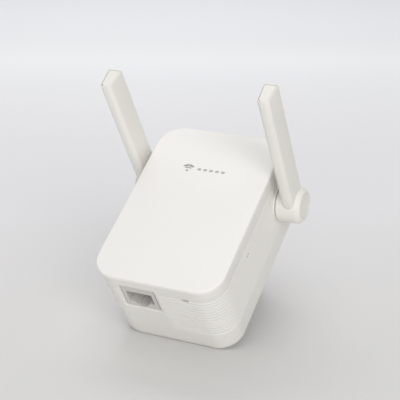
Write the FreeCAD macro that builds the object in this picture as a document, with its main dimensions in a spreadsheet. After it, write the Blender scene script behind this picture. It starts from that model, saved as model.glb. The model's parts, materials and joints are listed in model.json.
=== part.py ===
import FreeCAD, Part
import math
import os
import re

import Sketcher

# Plug-in network range extender with two folding antennas, in millimetres.
# Frame: seen from the room, +X is right, +Y points into the wall and +Z is up.  The origin is midway
# between the two mains pins, on the outer face of the round plug base, where the wall socket begins.

os.makedirs("parts", exist_ok=True)
doc = FreeCAD.newDocument("range_extender")

# ---------------------------------------------------------------- driving dimensions

DIMENSIONS = {
    # case
    "body_width": 58.0,
    "body_height": 84.5,
    "body_depth": 42.5,
    "body_drop": 15.6,           # centre of the case below the plug's axis
    "corner_radius": 10.5,
    "rear_corner_radius": 10.5,
    "side_draft": 0.8,           # each side of the case is this much narrower at the back
    "back_bevel": 0.8,
    "shell": 2.0,
    "panel_thickness": 2.0,
    "lip_length": 2.6,
    "panel_overhang": 0.3,
    "seam": 0.3,
    # vent slots
    "vent_start": 12.0,
    "vent_pitch": 1.9,
    "vent_slot": 0.7,
    "vent_width": 36.0,
    # mains plug
    "plug_length": 16.0,
    "plug_radius": 18.5,
    "plug_flange_radius": 20.5,
    "pin_radius": 2.4,
    "pin_root_radius": 2.8,      # the stretch moulded into the base's end wall
    "pin_length": 19.0,
    "pin_spacing": 19.0,
    # antenna hinges, measured from the case's front face and its centre
    "hinge_depth": 21.0,
    "hinge_height": 24.5,
    "knuckle_radius": 8.0,
    "knuckle_length": 11.1,
    "knuckle_bevel": 1.8,
    "stub_radius": 3.5,
    "running_gap": 0.05,
    "lead_bore": 1.2,
    "antenna_length": 66.4,
    "blade_foot": 0.8,
    "cap_thickness": 1.2,
    "blade_half_width": 3.15,
    "blade_nose": 6.7,
    "blade_back": 4.3,
    "left_antenna_angle": 89.0,  # from straight up, turned towards the room
    "right_antenna_angle": 88.0,
    # network socket
    "jack_width": 16.0,
    "jack_thickness": 13.5,
    "jack_length": 16.0,
    "jack_across": -9.2,         # centre of the socket, left of the case's centre
    "socket_floor": 3.6,         # from the board to the near side of the socket's opening
    "socket_width": 11.9,
    "recess_width": 18.4,
    "recess_thickness": 15.2,
    "recess_depth": 0.5,
    # circuit boards
    "board_thickness": 1.6,
    "main_board_depth": 5.4,
    "main_board_width": 48.0,
    "main_board_height": 73.0,
    "power_board_depth": 33.5,
    "power_board_width": 46.0,
    "power_board_height": 44.0,
    # buttons
    "reset_across": 12.8,
    "switch_depth": 8.6,
    "button_radius": 3.0,
    "button_height": -26.0,
    "button_travel": 0.6,
    "window_step": 6.0,
    "badge_height": 19.5,
}

sheet = doc.addObject("Spreadsheet::Sheet", "Sizes")
for row, (alias, number) in enumerate(DIMENSIONS.items(), start=1):
    sheet.set(f"A{row}", str(number))
    sheet.setAlias(f"A{row}", alias)
doc.recompute()

WORD = re.compile(r"[a-z_]+")

# Planes that many pieces share, as expressions on the sheet.
FRONT = "(-plug_length - body_depth)"
BACK = "(-plug_length)"
HINGE_Y = f"({FRONT} + hinge_depth)"
HINGE_Z = "(hinge_height - body_drop)"
CASE_BOTTOM = "(-body_drop - body_height / 2)"
BOARD_BACK = f"({FRONT} + main_board_depth + board_thickness)"
POWER_FRONT = f"({FRONT} + power_board_depth)"
KNUCKLE_START = "(body_width / 2 + seam)"

VENT_ROWS = 10

pieces = []


def bound(text):
    """An expression on the sheet: every word that is one of its aliases gets the sheet's name."""
    return WORD.sub(lambda word: "Sizes." + word[0] if word[0] in DIMENSIONS else word[0], str(text))


def value(text):
    """The present value of such an expression, in millimetres or degrees."""
    return float(sheet.evalExpression(bound(text)))


def bind(thing, **properties):
    """Bind each named property of an object to its expression."""
    for name, text in properties.items():
        thing.setExpression(name.replace("__", "."), bound(text))


def shifted(base, more):
    return f"({base}) + ({more})"


def node(thing, name):
    """Declare a finished object as one piece of the product, under its own name."""
    thing.Label = name
    pieces.append(thing)
    return thing


def stand(thing, x=0, y=0, z=0, tilt=None):
    """Place an object: turned about X by tilt degrees, then moved to x, y, z."""
    turn = FreeCAD.Rotation(FreeCAD.Vector(1, 0, 0), value(tilt) if tilt else 0.0)
    thing.Placement = FreeCAD.Placement(FreeCAD.Vector(value(x), value(y), value(z)), turn)
    bind(thing, Placement__Base__x=x, Placement__Base__y=y, Placement__Base__z=z)
    if tilt:
        bind(thing, Placement__Rotation__Angle=tilt)
    return thing


# ---------------------------------------------------------------- solids from primitives

def block(x, y, z, name="block"):
    """A box given by its span along each axis."""
    box = doc.addObject("Part::Box", name)
    for prop, (low, high) in (("Length", x), ("Width", y), ("Height", z)):
        bind(box, **{prop: f"({high}) - ({low})"})
    bind(box, Placement__Base__x=x[0], Placement__Base__y=y[0], Placement__Base__z=z[0])
    return box


AXIS_TURN = {
    "x": FreeCAD.Rotation(FreeCAD.Vector(0, 1, 0), 90),
    "y": FreeCAD.Rotation(FreeCAD.Vector(1, 0, 0), -90),
    "z": FreeCAD.Rotation(),
}


def rod(axis, span, centre, radius, name="rod"):
    """A cylinder along x, y or z: its span on that axis, and its centre on the other two."""
    cylinder = doc.addObject("Part::Cylinder", name)
    low, high = span
    bind(cylinder, Radius=radius, Height=f"({high}) - ({low})")
    cylinder.Placement = FreeCAD.Placement(FreeCAD.Vector(), AXIS_TURN[axis])
    places = list(centre)
    places.insert("xyz".index(axis), low)
    for letter, text in zip("xyz", places):
        cylinder.setExpression(f"Placement.Base.{letter}", bound(text))
    return cylinder


def fuse(*shapes):
    """One solid from several; a single solid stays as it is."""
    if len(shapes) == 1:
        return shapes[0]
    joined = doc.addObject("Part::MultiFuse", "joined")
    joined.Shapes = list(shapes)
    joined.Refine = True
    return joined


def cut(base, *tools):
    result = doc.addObject("Part::Cut", "cut")
    result.Base = base
    result.Tool = tools[0] if len(tools) == 1 else fuse(*tools)
    return result


def group(name, *shapes):
    """Several separate solids that share one node."""
    together = doc.addObject("Part::Compound", name)
    together.Links = list(shapes)
    return node(together, name)


# ---------------------------------------------------------------- sketched bodies

def body(name):
    return doc.addObject("PartDesign::Body", name)


def sketch(owner, plane, offset="0", name="outline"):
    """A sketch on one of the body's own origin planes, moved along that plane's normal.

    Sketch axes are X, Y on XY_Plane, X, Z on XZ_Plane (normal -Y) and Y, Z on YZ_Plane.
    """
    drawing = owner.newObject("Sketcher::SketchObject", name)
    support = next(one for one in owner.Origin.OriginFeatures if one.Role == plane)
    drawing.AttachmentSupport = [(support, "")]
    drawing.MapMode = "FlatFace"
    drawing.setExpression("AttachmentOffset.Base.z", bound(offset))
    return drawing


def fix_point(drawing, line, x, y):
    """Hold the start of a line at x, y from the sketch's origin."""
    for kind, text in (("DistanceX", x), ("DistanceY", y)):
        index = drawing.addConstraint(Sketcher.Constraint(kind, -1, 1, line, 1, value(text)))
        drawing.setExpression(f"Constraints[{index}]", bound(text))


def polygon(drawing, points):
    """A closed outline of straight lines through points that are pairs of expressions."""
    where = [FreeCAD.Vector(value(x), value(y), 0) for x, y in points]
    first = drawing.GeometryCount
    count = len(points)
    for here, there in zip(where, where[1:] + where[:1]):
        drawing.addGeometry(Part.LineSegment(here, there), False)
    for number in range(count):
        following = first + (number + 1) % count
        drawing.addConstraint(Sketcher.Constraint("Coincident", first + number, 2, following, 1))
    for number, (x, y) in enumerate(points):
        fix_point(drawing, first + number, x, y)


def circle(drawing, x, y, radius):
    """A circle at x, y with its radius bound."""
    centre = FreeCAD.Vector(value(x), value(y), 0)
    index = drawing.addGeometry(Part.Circle(centre, FreeCAD.Vector(0, 0, 1), value(radius)), False)
    for kind, text in (("DistanceX", x), ("DistanceY", y)):
        at = drawing.addConstraint(Sketcher.Constraint(kind, -1, 1, index, 3, value(text)))
        drawing.setExpression(f"Constraints[{at}]", bound(text))
    at = drawing.addConstraint(Sketcher.Constraint("Radius", index, value(radius)))
    drawing.setExpression(f"Constraints[{at}]", bound(radius))


def rounded_rectangle(drawing, width, height, radius, x="0", y="0"):
    """A rectangle with round corners, centred on x, y: four lines joined by four tangent arcs."""
    half_w, half_h, r = value(width) / 2, value(height) / 2, value(radius)
    cx, cy = value(x), value(y)
    first = drawing.GeometryCount
    corners = ((1, -1, -90), (1, 1, 0), (-1, 1, 90), (-1, -1, 180))
    ends = []
    for sign_x, sign_y, start in corners:
        middle = FreeCAD.Vector(cx + sign_x * (half_w - r), cy + sign_y * (half_h - r), 0)
        ring = Part.Circle(middle, FreeCAD.Vector(0, 0, 1), r)
        arc = Part.ArcOfCircle(ring, math.radians(start), math.radians(start + 90))
        drawing.addGeometry(arc, False)
        ends.append((arc.StartPoint, arc.EndPoint))
    for number in range(4):
        drawing.addGeometry(Part.LineSegment(ends[number][1], ends[(number + 1) % 4][0]), False)
    for number in range(4):
        line = first + 4 + number
        drawing.addConstraint(Sketcher.Constraint("Tangent", first + number, 2, line, 1))
        drawing.addConstraint(Sketcher.Constraint("Tangent", line, 2, first + (number + 1) % 4, 1))
        drawing.addConstraint(Sketcher.Constraint("Horizontal" if number % 2 else "Vertical", line))
    for number in range(1, 4):
        drawing.addConstraint(Sketcher.Constraint("Equal", first, first + number))
    at = drawing.addConstraint(Sketcher.Constraint("Radius", first, value(radius)))
    drawing.setExpression(f"Constraints[{at}]", bound(radius))
    sides = (
        ("DistanceX", first + 4, f"({x}) + ({width}) / 2"),
        ("DistanceY", first + 5, f"({y}) + ({height}) / 2"),
        ("DistanceX", first + 6, f"({x}) - ({width}) / 2"),
        ("DistanceY", first + 7, f"({y}) - ({height}) / 2"),
    )
    for kind, line, text in sides:
        at = drawing.addConstraint(Sketcher.Constraint(kind, -1, 1, line, 1, value(text)))
        drawing.setExpression(f"Constraints[{at}]", bound(text))


def pad(owner, drawing, length, reverse=False):
    feature = owner.newObject("PartDesign::Pad", "Pad")
    feature.Profile = drawing
    feature.Reversed = reverse
    feature.setExpression("Length", bound(length))
    return feature


def pocket(owner, drawing, length, reverse=False):
    """Cut a sketch into the solid, and make sure that it really removed something."""
    doc.recompute()
    before = owner.Shape.Volume
    feature = owner.newObject("PartDesign::Pocket", "Pocket")
    feature.Profile = drawing
    feature.Reversed = reverse
    feature.setExpression("Length", bound(length))
    doc.recompute()
    if owner.Shape.Volume > before - 1e-3:
        raise RuntimeError(f"a pocket in {owner.Name} cuts nothing")
    return feature


def loft(owner, kind, start, end):
    feature = owner.newObject(f"PartDesign::{kind}", kind)
    feature.Profile = start
    feature.Sections = [end]
    feature.Ruled = True
    return feature


def revolve(owner, drawing, axis):
    feature = owner.newObject("PartDesign::Revolution", "Revolution")
    feature.Profile = drawing
    line = next(one for one in owner.Origin.OriginFeatures if one.Role == axis)
    feature.ReferenceAxis = (line, [""])
    feature.Angle = 360.0
    return feature


def repeat(owner, feature, axis, count, pitch):
    """A row of copies of one feature along an axis of the body."""
    line = next(one for one in owner.Origin.OriginFeatures if one.Role == axis)
    row = owner.newObject("PartDesign::LinearPattern", "Row")
    row.Originals = [feature]
    row.Direction = (line, [""])
    row.Occurrences = count
    row.setExpression("Length", bound(f"{count - 1} * {pitch}"))
    owner.Tip = row
    return row


def round_edges(owner, radius, choose):
    """Fillet the edges of the body's last feature that choose(edge) accepts."""
    doc.recompute()
    last = owner.Tip
    names = [f"Edge{i + 1}" for i, edge in enumerate(last.Shape.Edges) if choose(edge)]
    feature = owner.newObject("PartDesign::Fillet", "Fillet")
    feature.Base = (last, names)
    feature.setExpression("Radius", bound(radius))
    return feature


def all_near(axis, place):
    """Accept an edge whose every end and middle lie at one place along an axis (0 x, 1 y, 2 z)."""
    def choose(edge):
        middle = edge.valueAt((edge.FirstParameter + edge.LastParameter) / 2)
        spots = [vertex.Point for vertex in edge.Vertexes] + [middle]
        return all(abs(spot[axis] - place) < 0.02 for spot in spots)
    return choose


def along(axis):
    """Accept a straight edge that runs along an axis."""
    def choose(edge):
        ends = [vertex.Point for vertex in edge.Vertexes]
        if len(ends) < 2 or edge.Curve.TypeId != "Part::GeomLine":
            return False
        span = ends[1] - ends[0]
        return all(abs(span[other]) < 1e-4 for other in range(3) if other != axis)
    return choose


# ---------------------------------------------------------------- case

def outline_size(depth, inset="0"):
    """Width, height and corner radius of the case's wall at a depth, moved in by inset."""
    narrower = f"2 * (panel_overhang + side_draft * ({depth}) / body_depth + ({inset}))"
    radius = (f"corner_radius + (rear_corner_radius - corner_radius) * ({depth}) / body_depth"
              f" - ({inset})")
    return f"body_width - {narrower}", f"body_height - {narrower}", radius


def case_outline(owner, depth, inset="0", name="outline"):
    """The case's wall outline, drawn at a depth behind the front face."""
    drawing = sketch(owner, "XZ_Plane", f"-({FRONT} + {depth})", name)
    rounded_rectangle(drawing, *outline_size(depth, inset), y="-body_drop")
    return drawing


def front_panel():
    """The plain front plate: a slab with softened edges and a lip that drops inside the case."""
    panel = body("front_panel")
    plate = sketch(panel, "XZ_Plane", f"-({FRONT})", "plate")
    rounded_rectangle(plate, "body_width", "body_height", "corner_radius", y="-body_drop")
    pad(panel, plate, "panel_thickness", reverse=True)
    round_edges(panel, "0.7", all_near(1, value(FRONT)))
    lip = sketch(panel, "XZ_Plane", f"-({FRONT} + panel_thickness)", "lip")
    lip_end = "(panel_thickness + lip_length)"
    for inset in ("shell + 0.05", "shell + 1.25"):
        rounded_rectangle(lip, *outline_size(lip_end, inset), y="-body_drop")
    pad(panel, lip, "lip_length", reverse=True)
    return node(panel, "front_panel")


def rear_housing():
    """The deep rear shell: drafted walls, back wall, vents and every opening."""
    housing = body("rear_housing")
    front_edge = "(panel_thickness + seam)"
    bevel_start = "(body_depth - back_bevel)"
    loft(housing, "AdditiveLoft",
         case_outline(housing, front_edge, name="front_outline"),
         case_outline(housing, bevel_start, name="bevel_outline"))
    loft(housing, "AdditiveLoft",
         case_outline(housing, bevel_start, name="bevel_foot"),
         case_outline(housing, "body_depth", "back_bevel", "back_outline"))
    loft(housing, "SubtractiveLoft",
         case_outline(housing, front_edge, "shell", "cavity_front"),
         case_outline(housing, "(body_depth - shell)", "shell", "cavity_back"))
    hinge_seats(housing)
    plug_hole = sketch(housing, "XZ_Plane", f"-({BACK})", "plug_hole")
    circle(plug_hole, "0", "0", "plug_radius - 1")
    pocket(housing, plug_hole, "shell + 1", reverse=True)
    socket_recess(housing)
    vents(housing)
    side_openings(housing)
    return node(housing, "rear_housing")


def hinge_seats(housing):
    """A flat round seat on each side wall, with a hole for the antenna's stub axle."""
    for side in (-1, 1):
        seat = sketch(housing, "YZ_Plane", f"{side} * (body_width / 2 - shell)", "hinge_seat")
        circle(seat, HINGE_Y, HINGE_Z, "knuckle_radius + 0.3")
        pad(housing, seat, "shell", reverse=side < 0)
        hole = sketch(housing, "YZ_Plane", f"{side} * (body_width / 2 + 1)", "hinge_hole")
        circle(hole, HINGE_Y, HINGE_Z, "stub_radius + running_gap")
        pocket(housing, hole, "shell + 4", reverse=side < 0)


def socket_recess(housing):
    """The shallow recess round the network socket in the bottom wall, and the hole inside it."""
    middle = f"{FRONT} + main_board_depth + board_thickness + jack_thickness / 2"
    recess = sketch(housing, "XY_Plane", f"{CASE_BOTTOM} - 1", "socket_recess")
    rounded_rectangle(recess, "recess_width", "recess_thickness", "1.2", x="jack_across", y=middle)
    pocket(housing, recess, "recess_depth + panel_overhang + 1.4", reverse=True)
    hole = sketch(housing, "XY_Plane", f"{CASE_BOTTOM} - 1", "socket_hole")
    rounded_rectangle(hole, "jack_width + 0.1", "jack_thickness + 0.1", "0.1", x="jack_across", y=middle)
    pocket(housing, hole, "shell + 4", reverse=True)
    pinhole = sketch(housing, "XY_Plane", f"{CASE_BOTTOM} - 1", "reset_hole")
    rounded_rectangle(pinhole, "3.2", "1.8", "0.85", x="reset_across", y=f"{FRONT} + switch_depth")
    pocket(housing, pinhole, "shell + 4", reverse=True)


def vents(housing):
    """A row of open slots through the top wall."""
    above = f"-({CASE_BOTTOM}) - 2 * body_drop + 1"
    slot = sketch(housing, "XY_Plane", above, "vent_slot")
    rounded_rectangle(slot, "vent_width", "vent_slot", "vent_slot * 0.49", y=f"{FRONT} + vent_start")
    first = pocket(housing, slot, "shell + 4")
    repeat(housing, first, "Y_Axis", VENT_ROWS, "vent_pitch")


def side_openings(housing):
    """Left wall: the pairing button's hole and four indicator windows.  Right wall: a pry slot."""
    left = sketch(housing, "YZ_Plane", "-body_width / 2 - 1", "left_openings")
    circle(left, f"{FRONT} + switch_depth", "button_height - body_drop", "button_radius + 0.3")
    for number in range(4):
        height = f"button_height - body_drop + 12 + {number} * window_step"
        circle(left, f"{FRONT} + switch_depth", height, "0.9")
    pocket(housing, left, "shell + 4", reverse=True)
    right = sketch(housing, "YZ_Plane", "body_width / 2 + 1", "pry_slot")
    rounded_rectangle(right, "1.0", "2.6", "0.45", x=f"{FRONT} + 13", y="-body_drop - 11.5")
    pocket(housing, right, "3")


# ---------------------------------------------------------------- mains plug

def plug_base():
    """The round plug base: a cup whose end wall carries the pins, with notches for earth clips."""
    base = body("plug_base")
    profile = sketch(base, "XY_Plane", name="half_section")
    polygon(profile, (
        ("0", "0"), ("plug_radius - 1.5", "0"), ("plug_radius", "-1.5"), ("plug_radius", BACK),
        ("plug_radius - 1.05", BACK), ("plug_radius - 1.05", f"{BACK} - shell - 0.05"),
        ("plug_flange_radius", f"{BACK} - shell - 0.05"), ("plug_flange_radius", f"{BACK} - shell - 1.6"),
        ("plug_radius - 3", f"{BACK} - shell - 1.6"), ("plug_radius - 3", "-4"), ("0", "-4"),
    ))
    revolve(base, profile, "Y_Axis")
    notches = sketch(base, "XZ_Plane", "-1", "earth_notches")
    for side in (-1, 1):
        rounded_rectangle(notches, "6.4", "3.6", "0.6", y=f"{side} * plug_radius")
    pocket(base, notches, "plug_length - 3", reverse=True)
    holes = sketch(base, "XZ_Plane", "-1", "pin_holes")
    for side in (-1, 1):
        circle(holes, f"{side} * pin_spacing / 2", "0", "pin_root_radius")
    pocket(base, holes, "7", reverse=True)
    return node(base, "plug_base")


def plug_pin(name, side):
    """One round mains pin: domed tip, thicker root in the end wall, collar and solder stud."""
    pin = body(name)
    profile = sketch(pin, "XY_Plane", name="half_section")
    polygon(profile, (
        ("0", "pin_length"), ("pin_radius - 1.6", "pin_length"), ("pin_radius - 0.55", "pin_length - 0.55"),
        ("pin_radius", "pin_length - 1.8"), ("pin_radius", "0"), ("pin_root_radius", "0"),
        ("pin_root_radius", "-4"), ("pin_radius + 0.8", "-4"),
        ("pin_radius + 0.8", "-5.2"), ("1.2", "-5.2"), ("1.2", "-9"), ("0", "-9"),
    ))
    revolve(pin, profile, "Y_Axis")
    return node(stand(pin, x=f"{side} * pin_spacing / 2"), name)


def pin_strap(name, side):
    """The brass strap that carries mains from a pin's stud back to the power board."""
    across = f"{side} * pin_spacing / 2"
    face = f"{POWER_FRONT} + board_thickness"
    plate = block((f"{across} - 2.5", f"{across} + 2.5"), ("-9.6", "-9"), ("-3", "5"))
    leg = block((f"{across} - 2.5", f"{across} + 2.5"), (face, "-9"), ("5", "5.6"))
    return node(fuse(plate, leg), name)


# ---------------------------------------------------------------- antennas

def knuckle(name, side):
    """The round hinge knuckle, turned about X: bevelled barrel, stub axle and a bore for the lead."""
    barrel = body(name)
    profile = sketch(barrel, "XY_Plane", name="half_section")
    start = f"{side} * {KNUCKLE_START}"
    end = f"{side} * (body_width / 2 + knuckle_length)"
    inner = f"{side} * (body_width / 2 - shell - 2.7)"
    polygon(profile, (
        (inner, "lead_bore"), (inner, "stub_radius"), (start, "stub_radius"), (start, "knuckle_radius"),
        (f"{end} - {side} * knuckle_bevel", "knuckle_radius"),
        (end, "knuckle_radius - knuckle_bevel * 0.8"),
        (end, "5.25"), (f"{end} - {side} * 1.2", "5.25"),
        (f"{end} - {side} * 1.2", "lead_bore"),
    ))
    revolve(barrel, profile, "X_Axis")
    mortise = sketch(barrel, "XY_Plane", "blade_foot", "mortise")
    polygon(mortise, blade_section(blade_across(side), "0"))
    pocket(barrel, mortise, "knuckle_radius + 1", reverse=True)
    return hinged(barrel, name, side)


def blade_section(across, inset):
    """The blade's six-sided section: a bevelled nose to the front and a flat back."""
    half = f"(blade_half_width - ({inset}))"
    nose = f"(-blade_nose + ({inset}))"
    back = f"(blade_back - ({inset}))"
    right = ((f"({half}) * 0.38", nose), (f"({half}) * 0.83", f"({nose}) + 1.3"), (half, back))
    left = [(f"-({x})", y) for x, y in reversed(right)]
    return [(f"({across}) + ({x})", y) for x, y in (*right, *left)]


def blade_across(side):
    return f"{side} * (body_width / 2 + knuckle_length / 2 + 0.4)"


def hinged(thing, name, side):
    """Put a piece that was drawn with its antenna upright at the hinge, turned to its rest angle."""
    angle = "left_antenna_angle" if side < 0 else "right_antenna_angle"
    if thing.TypeId != "PartDesign::Body":
        carrier = doc.addObject("Part::Compound", "carrier")
        carrier.Links = [thing]
        thing = carrier
    return node(stand(thing, y=HINGE_Y, z=HINGE_Z, tilt=angle), name)


def antenna_sleeve(name, side):
    """The hollow blade: a six-sided tube that stands in the knuckle's mortise."""
    sleeve = body(name)
    outer = sketch(sleeve, "XY_Plane", "blade_foot", "section")
    polygon(outer, blade_section(blade_across(side), "0"))
    pad(sleeve, outer, "antenna_length - cap_thickness - blade_foot")
    round_edges(sleeve, "0.5", along(2))
    root = sketch(sleeve, "XY_Plane", "-1", "hollow")
    polygon(root, blade_section(blade_across(side), "1.1"))
    pocket(sleeve, root, "antenna_length + 1", reverse=True)
    return hinged(sleeve, name, side)


def antenna_cap(name, side):
    """The cut-off end: a small plug that closes the sleeve, set in by a hair all round."""
    cap = body(name)
    top = sketch(cap, "XY_Plane", "antenna_length - cap_thickness", "top")
    polygon(top, blade_section(blade_across(side), "0.15"))
    pad(cap, top, "cap_thickness")
    spigot = sketch(cap, "XY_Plane", "antenna_length - cap_thickness", "spigot")
    polygon(spigot, blade_section(blade_across(side), "1.15"))
    pad(cap, spigot, "3", reverse=True)
    return hinged(cap, name, side)


def knuckle_disc(name, side):
    """The round disc that closes the knuckle's outer end over the lead."""
    end = f"{side} * (body_width / 2 + knuckle_length)"
    seat = f"({end}) - {side} * 1.2"
    span = (seat, f"({end}) - {side} * 0.1")
    disc = rod("x", span if side > 0 else span[::-1], ("0", "0"), "5.2")
    return hinged(disc, name, side)


def stub_retainer(name, side):
    """The ring inside the case that keeps the stub axle from pulling out."""
    outer = f"{side} * (body_width / 2 - shell - 1.2)"
    inner = f"{side} * (body_width / 2 - shell - 2.6)"
    span = (inner, outer) if side > 0 else (outer, inner)
    ring = cut(rod("x", span, ("0", "0"), "stub_radius + 1.8"), rod("x", span, ("0", "0"), "stub_radius"))
    return hinged(ring, name, side)


def antenna_element(name, side):
    """The radiator: a thin circuit strip that stands in the sleeve."""
    across = blade_across(side)
    strip = block((f"{across} - 0.4", f"{across} + 0.4"), ("-4.3", "2.7"), ("14", "antenna_length - 8"))
    return hinged(strip, name, side)


def antenna_lead(name, side):
    """The thin lead inside the antenna: out of the stub's bore, round a bend and up to the strip."""
    bend = 2.6
    foot = side * (value("body_width / 2 - shell") + 1.0)
    top = side * (value("body_width / 2 + knuckle_length / 2") + 1.6)
    route = [(foot, 0, 0), (top, 0, 0), (top, 0, 14)]
    return hinged(lead("lead_tube", route, 0.55, bend), name, side)


def case_lead(name, side):
    """The same lead inside the case: from the hinge's bore down to its connector on the board."""
    bore = side * (value("body_width / 2 - shell") - 2.8)
    turn = side * (value("body_width / 2 - shell") - 7.0)
    hinge_y, hinge_z = value(HINGE_Y), value(HINGE_Z)
    foot_y = value(BOARD_BACK) + 1.4
    route = [(bore, hinge_y, hinge_z), (turn, hinge_y, hinge_z),
             (turn, foot_y + 4.0, hinge_z - 6.0), (turn, foot_y, hinge_z - 16.0)]
    return node(lead(name, route, 0.55, 3.0), name)


def lead(name, route, radius, bend):
    """A round tube along straight runs that are joined by tangent arcs of one bend radius."""
    points = [FreeCAD.Vector(*spot) for spot in route]
    edges = []
    start = points[0]
    for before, corner, after in zip(points, points[1:], points[2:]):
        toward = (before - corner).normalize()
        onward = (after - corner).normalize()
        turn = math.pi - toward.getAngle(onward)
        reach = bend * math.tan(turn / 2)
        entry, leave = corner + toward * reach, corner + onward * reach
        inward = (toward + onward).normalize()
        middle = corner + inward * (bend / math.cos(turn / 2) - bend)
        edges.append(Part.LineSegment(start, entry).toShape())
        edges.append(Part.Arc(entry, middle, leave).toShape())
        start = leave
    edges.append(Part.LineSegment(start, points[-1]).toShape())
    path = Part.Wire(edges)
    disc = Part.Wire(Part.Circle(points[0], points[1] - points[0], radius).toShape())
    tube = doc.addObject("Part::Feature", name)
    tube.Shape = path.makePipeShell([disc], True, True)
    return tube


# ---------------------------------------------------------------- network socket

def jack_middle():
    return f"{FRONT} + main_board_depth + board_thickness + jack_thickness / 2"


def jack_face():
    return f"{CASE_BOTTOM} + panel_overhang + 0.4 + recess_depth"


def ethernet_jack():
    """The network socket's moulding: a block with a stepped cavity that is open at the bottom."""
    jack = body("ethernet_jack")
    face = jack_face()
    outer = sketch(jack, "XY_Plane", face, "outer")
    rounded_rectangle(outer, "jack_width - 0.6", "jack_thickness - 0.6", "0.3", x="jack_across", y=jack_middle())
    pad(jack, outer, "jack_length")
    low = f"{BOARD_BACK} + socket_floor"
    steps = (("0", "6.8", "socket_width / 2"), ("6.8", "8.2", "3.1"), ("8.2", "9.1", "1.7"))
    right = []
    for start, end, half in steps:
        right += [(f"jack_across + {half}", f"{low} + {start}"), (f"jack_across + {half}", f"{low} + {end}")]
    left = [(text.replace("jack_across +", "jack_across -"), y) for text, y in reversed(right)]
    cavity = sketch(jack, "XY_Plane", f"{face} - 1", "cavity")
    polygon(cavity, right + left)
    pocket(jack, cavity, "jack_length - 2 + 1", reverse=True)
    return node(jack, "ethernet_jack")


def jack_shield():
    """The thin metal can round the socket's four sides."""
    face, middle = jack_face(), jack_middle()
    half = "jack_width / 2"
    thick = "jack_thickness / 2"
    outer = block((f"jack_across - {half}", f"jack_across + {half}"),
                  (f"{middle} - {thick}", f"{middle} + {thick}"), (shifted(face, 0.6), shifted(face, "jack_length")))
    inner = block((f"jack_across - {half} + 0.3", f"jack_across + {half} - 0.3"),
                  (f"{middle} - {thick} + 0.3", f"{middle} + {thick} - 0.3"),
                  (shifted(face, -1), shifted(face, "jack_length + 1")))
    return node(cut(outer, inner), "jack_shield")


def jack_contacts():
    """Eight sprung contact wires that slope into the socket from its board side."""
    strips = []
    face = jack_face()
    low = f"{BOARD_BACK} + socket_floor"
    for number in range(8):
        across = f"jack_across + ({number} - 3.5) * 1.02"
        strip = body(f"contact_{number}")
        side = sketch(strip, "YZ_Plane", f"{across} - 0.17", "wire")
        polygon(side, ((low, shifted(face, 3)), (low, shifted(face, 3.35)),
                       (f"{low} + 2.2", shifted(face, 10.3)), (f"{low} + 2.2", shifted(face, 9.0))))
        pad(strip, side, "0.34")
        strips.append(strip)
    return group("jack_contacts", *strips)


# ---------------------------------------------------------------- main board

def main_board():
    """The radio board behind the front panel, with clipped corners and post holes."""
    board = body("main_board")
    face = f"-({FRONT} + main_board_depth)"
    outline = sketch(board, "XZ_Plane", face, "outline")
    half_w, half_h = "main_board_width / 2", "main_board_height / 2"
    clip = "7"
    corners = [(half_w, f"-body_drop - {half_h} + {clip}"), (half_w, f"-body_drop + {half_h} - {clip}"),
               (f"{half_w} - {clip}", f"-body_drop + {half_h}"), (f"-{half_w} + {clip}", f"-body_drop + {half_h}"),
               (f"-{half_w}", f"-body_drop + {half_h} - {clip}"), (f"-{half_w}", f"-body_drop - {half_h} + {clip}"),
               (f"-{half_w} + {clip}", f"-body_drop - {half_h}"), (f"{half_w} - {clip}", f"-body_drop - {half_h}")]
    polygon(outline, corners)
    for x, z in BOARD_POSTS:
        circle(outline, x, z, "1.35")
    pad(board, outline, "board_thickness", reverse=True)
    return node(board, "main_board")


BOARD_POSTS = (("-19.5", "-body_drop + 31"), ("19.5", "-body_drop + 31"),
               ("19", "-body_drop - 26"), ("-17.6", "-body_drop - 20"))


def board_screws():
    """Four small screws that hold the main board to posts of the rear housing."""
    screws = []
    head = f"{FRONT} + main_board_depth"
    for x, z in BOARD_POSTS:
        cap = rod("y", (f"{head} - 1.2", head), (x, z), "2.2")
        shank = rod("y", (head, f"{head} + 8"), (x, z), "1.1")
        slot = block((f"{x} - 1.6", f"{x} + 1.6"), (f"{head} - 1.3", f"{head} - 0.7"),
                     (f"{z} - 0.25", f"{z} + 0.25"))
        screws.append(cut(fuse(cap, shank), slot))
    return group("board_screws", *screws)


def board_posts():
    """The four posts that stand between the back wall and the main board."""
    posts = []
    for x, z in BOARD_POSTS:
        span = (BOARD_BACK, f"{BACK} - shell")
        posts.append(cut(rod("y", span, (x, z), "2.6"), rod("y", (BOARD_BACK, f"{BOARD_BACK} + 9"), (x, z), "1.1")))
    return group("board_posts", *posts)


def chip(name, x, z, width, height, span):
    """A flat package behind the main board, centred at x and z above the case's centre.

    span is where it begins and ends, measured back from the board's rear face.
    """
    low, high = span
    return node(block((x - width / 2, x + width / 2), (f"{BOARD_BACK} + {low}", f"{BOARD_BACK} + {high}"),
                      (f"-body_drop + {z - height / 2}", f"-body_drop + {z + height / 2}")), name)


def shield_can():
    """A drawn metal lid over the radio section."""
    outer = block(("-13", "13"), (BOARD_BACK, f"{BOARD_BACK} + 2.4"), ("-body_drop + 12", "-body_drop + 30"))
    inner = block(("-12.8", "12.8"), (f"{BOARD_BACK} - 1", f"{BOARD_BACK} + 2.2"),
                  ("-body_drop + 12.2", "-body_drop + 29.8"))
    return node(cut(outer, inner), "radio_shield")


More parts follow.
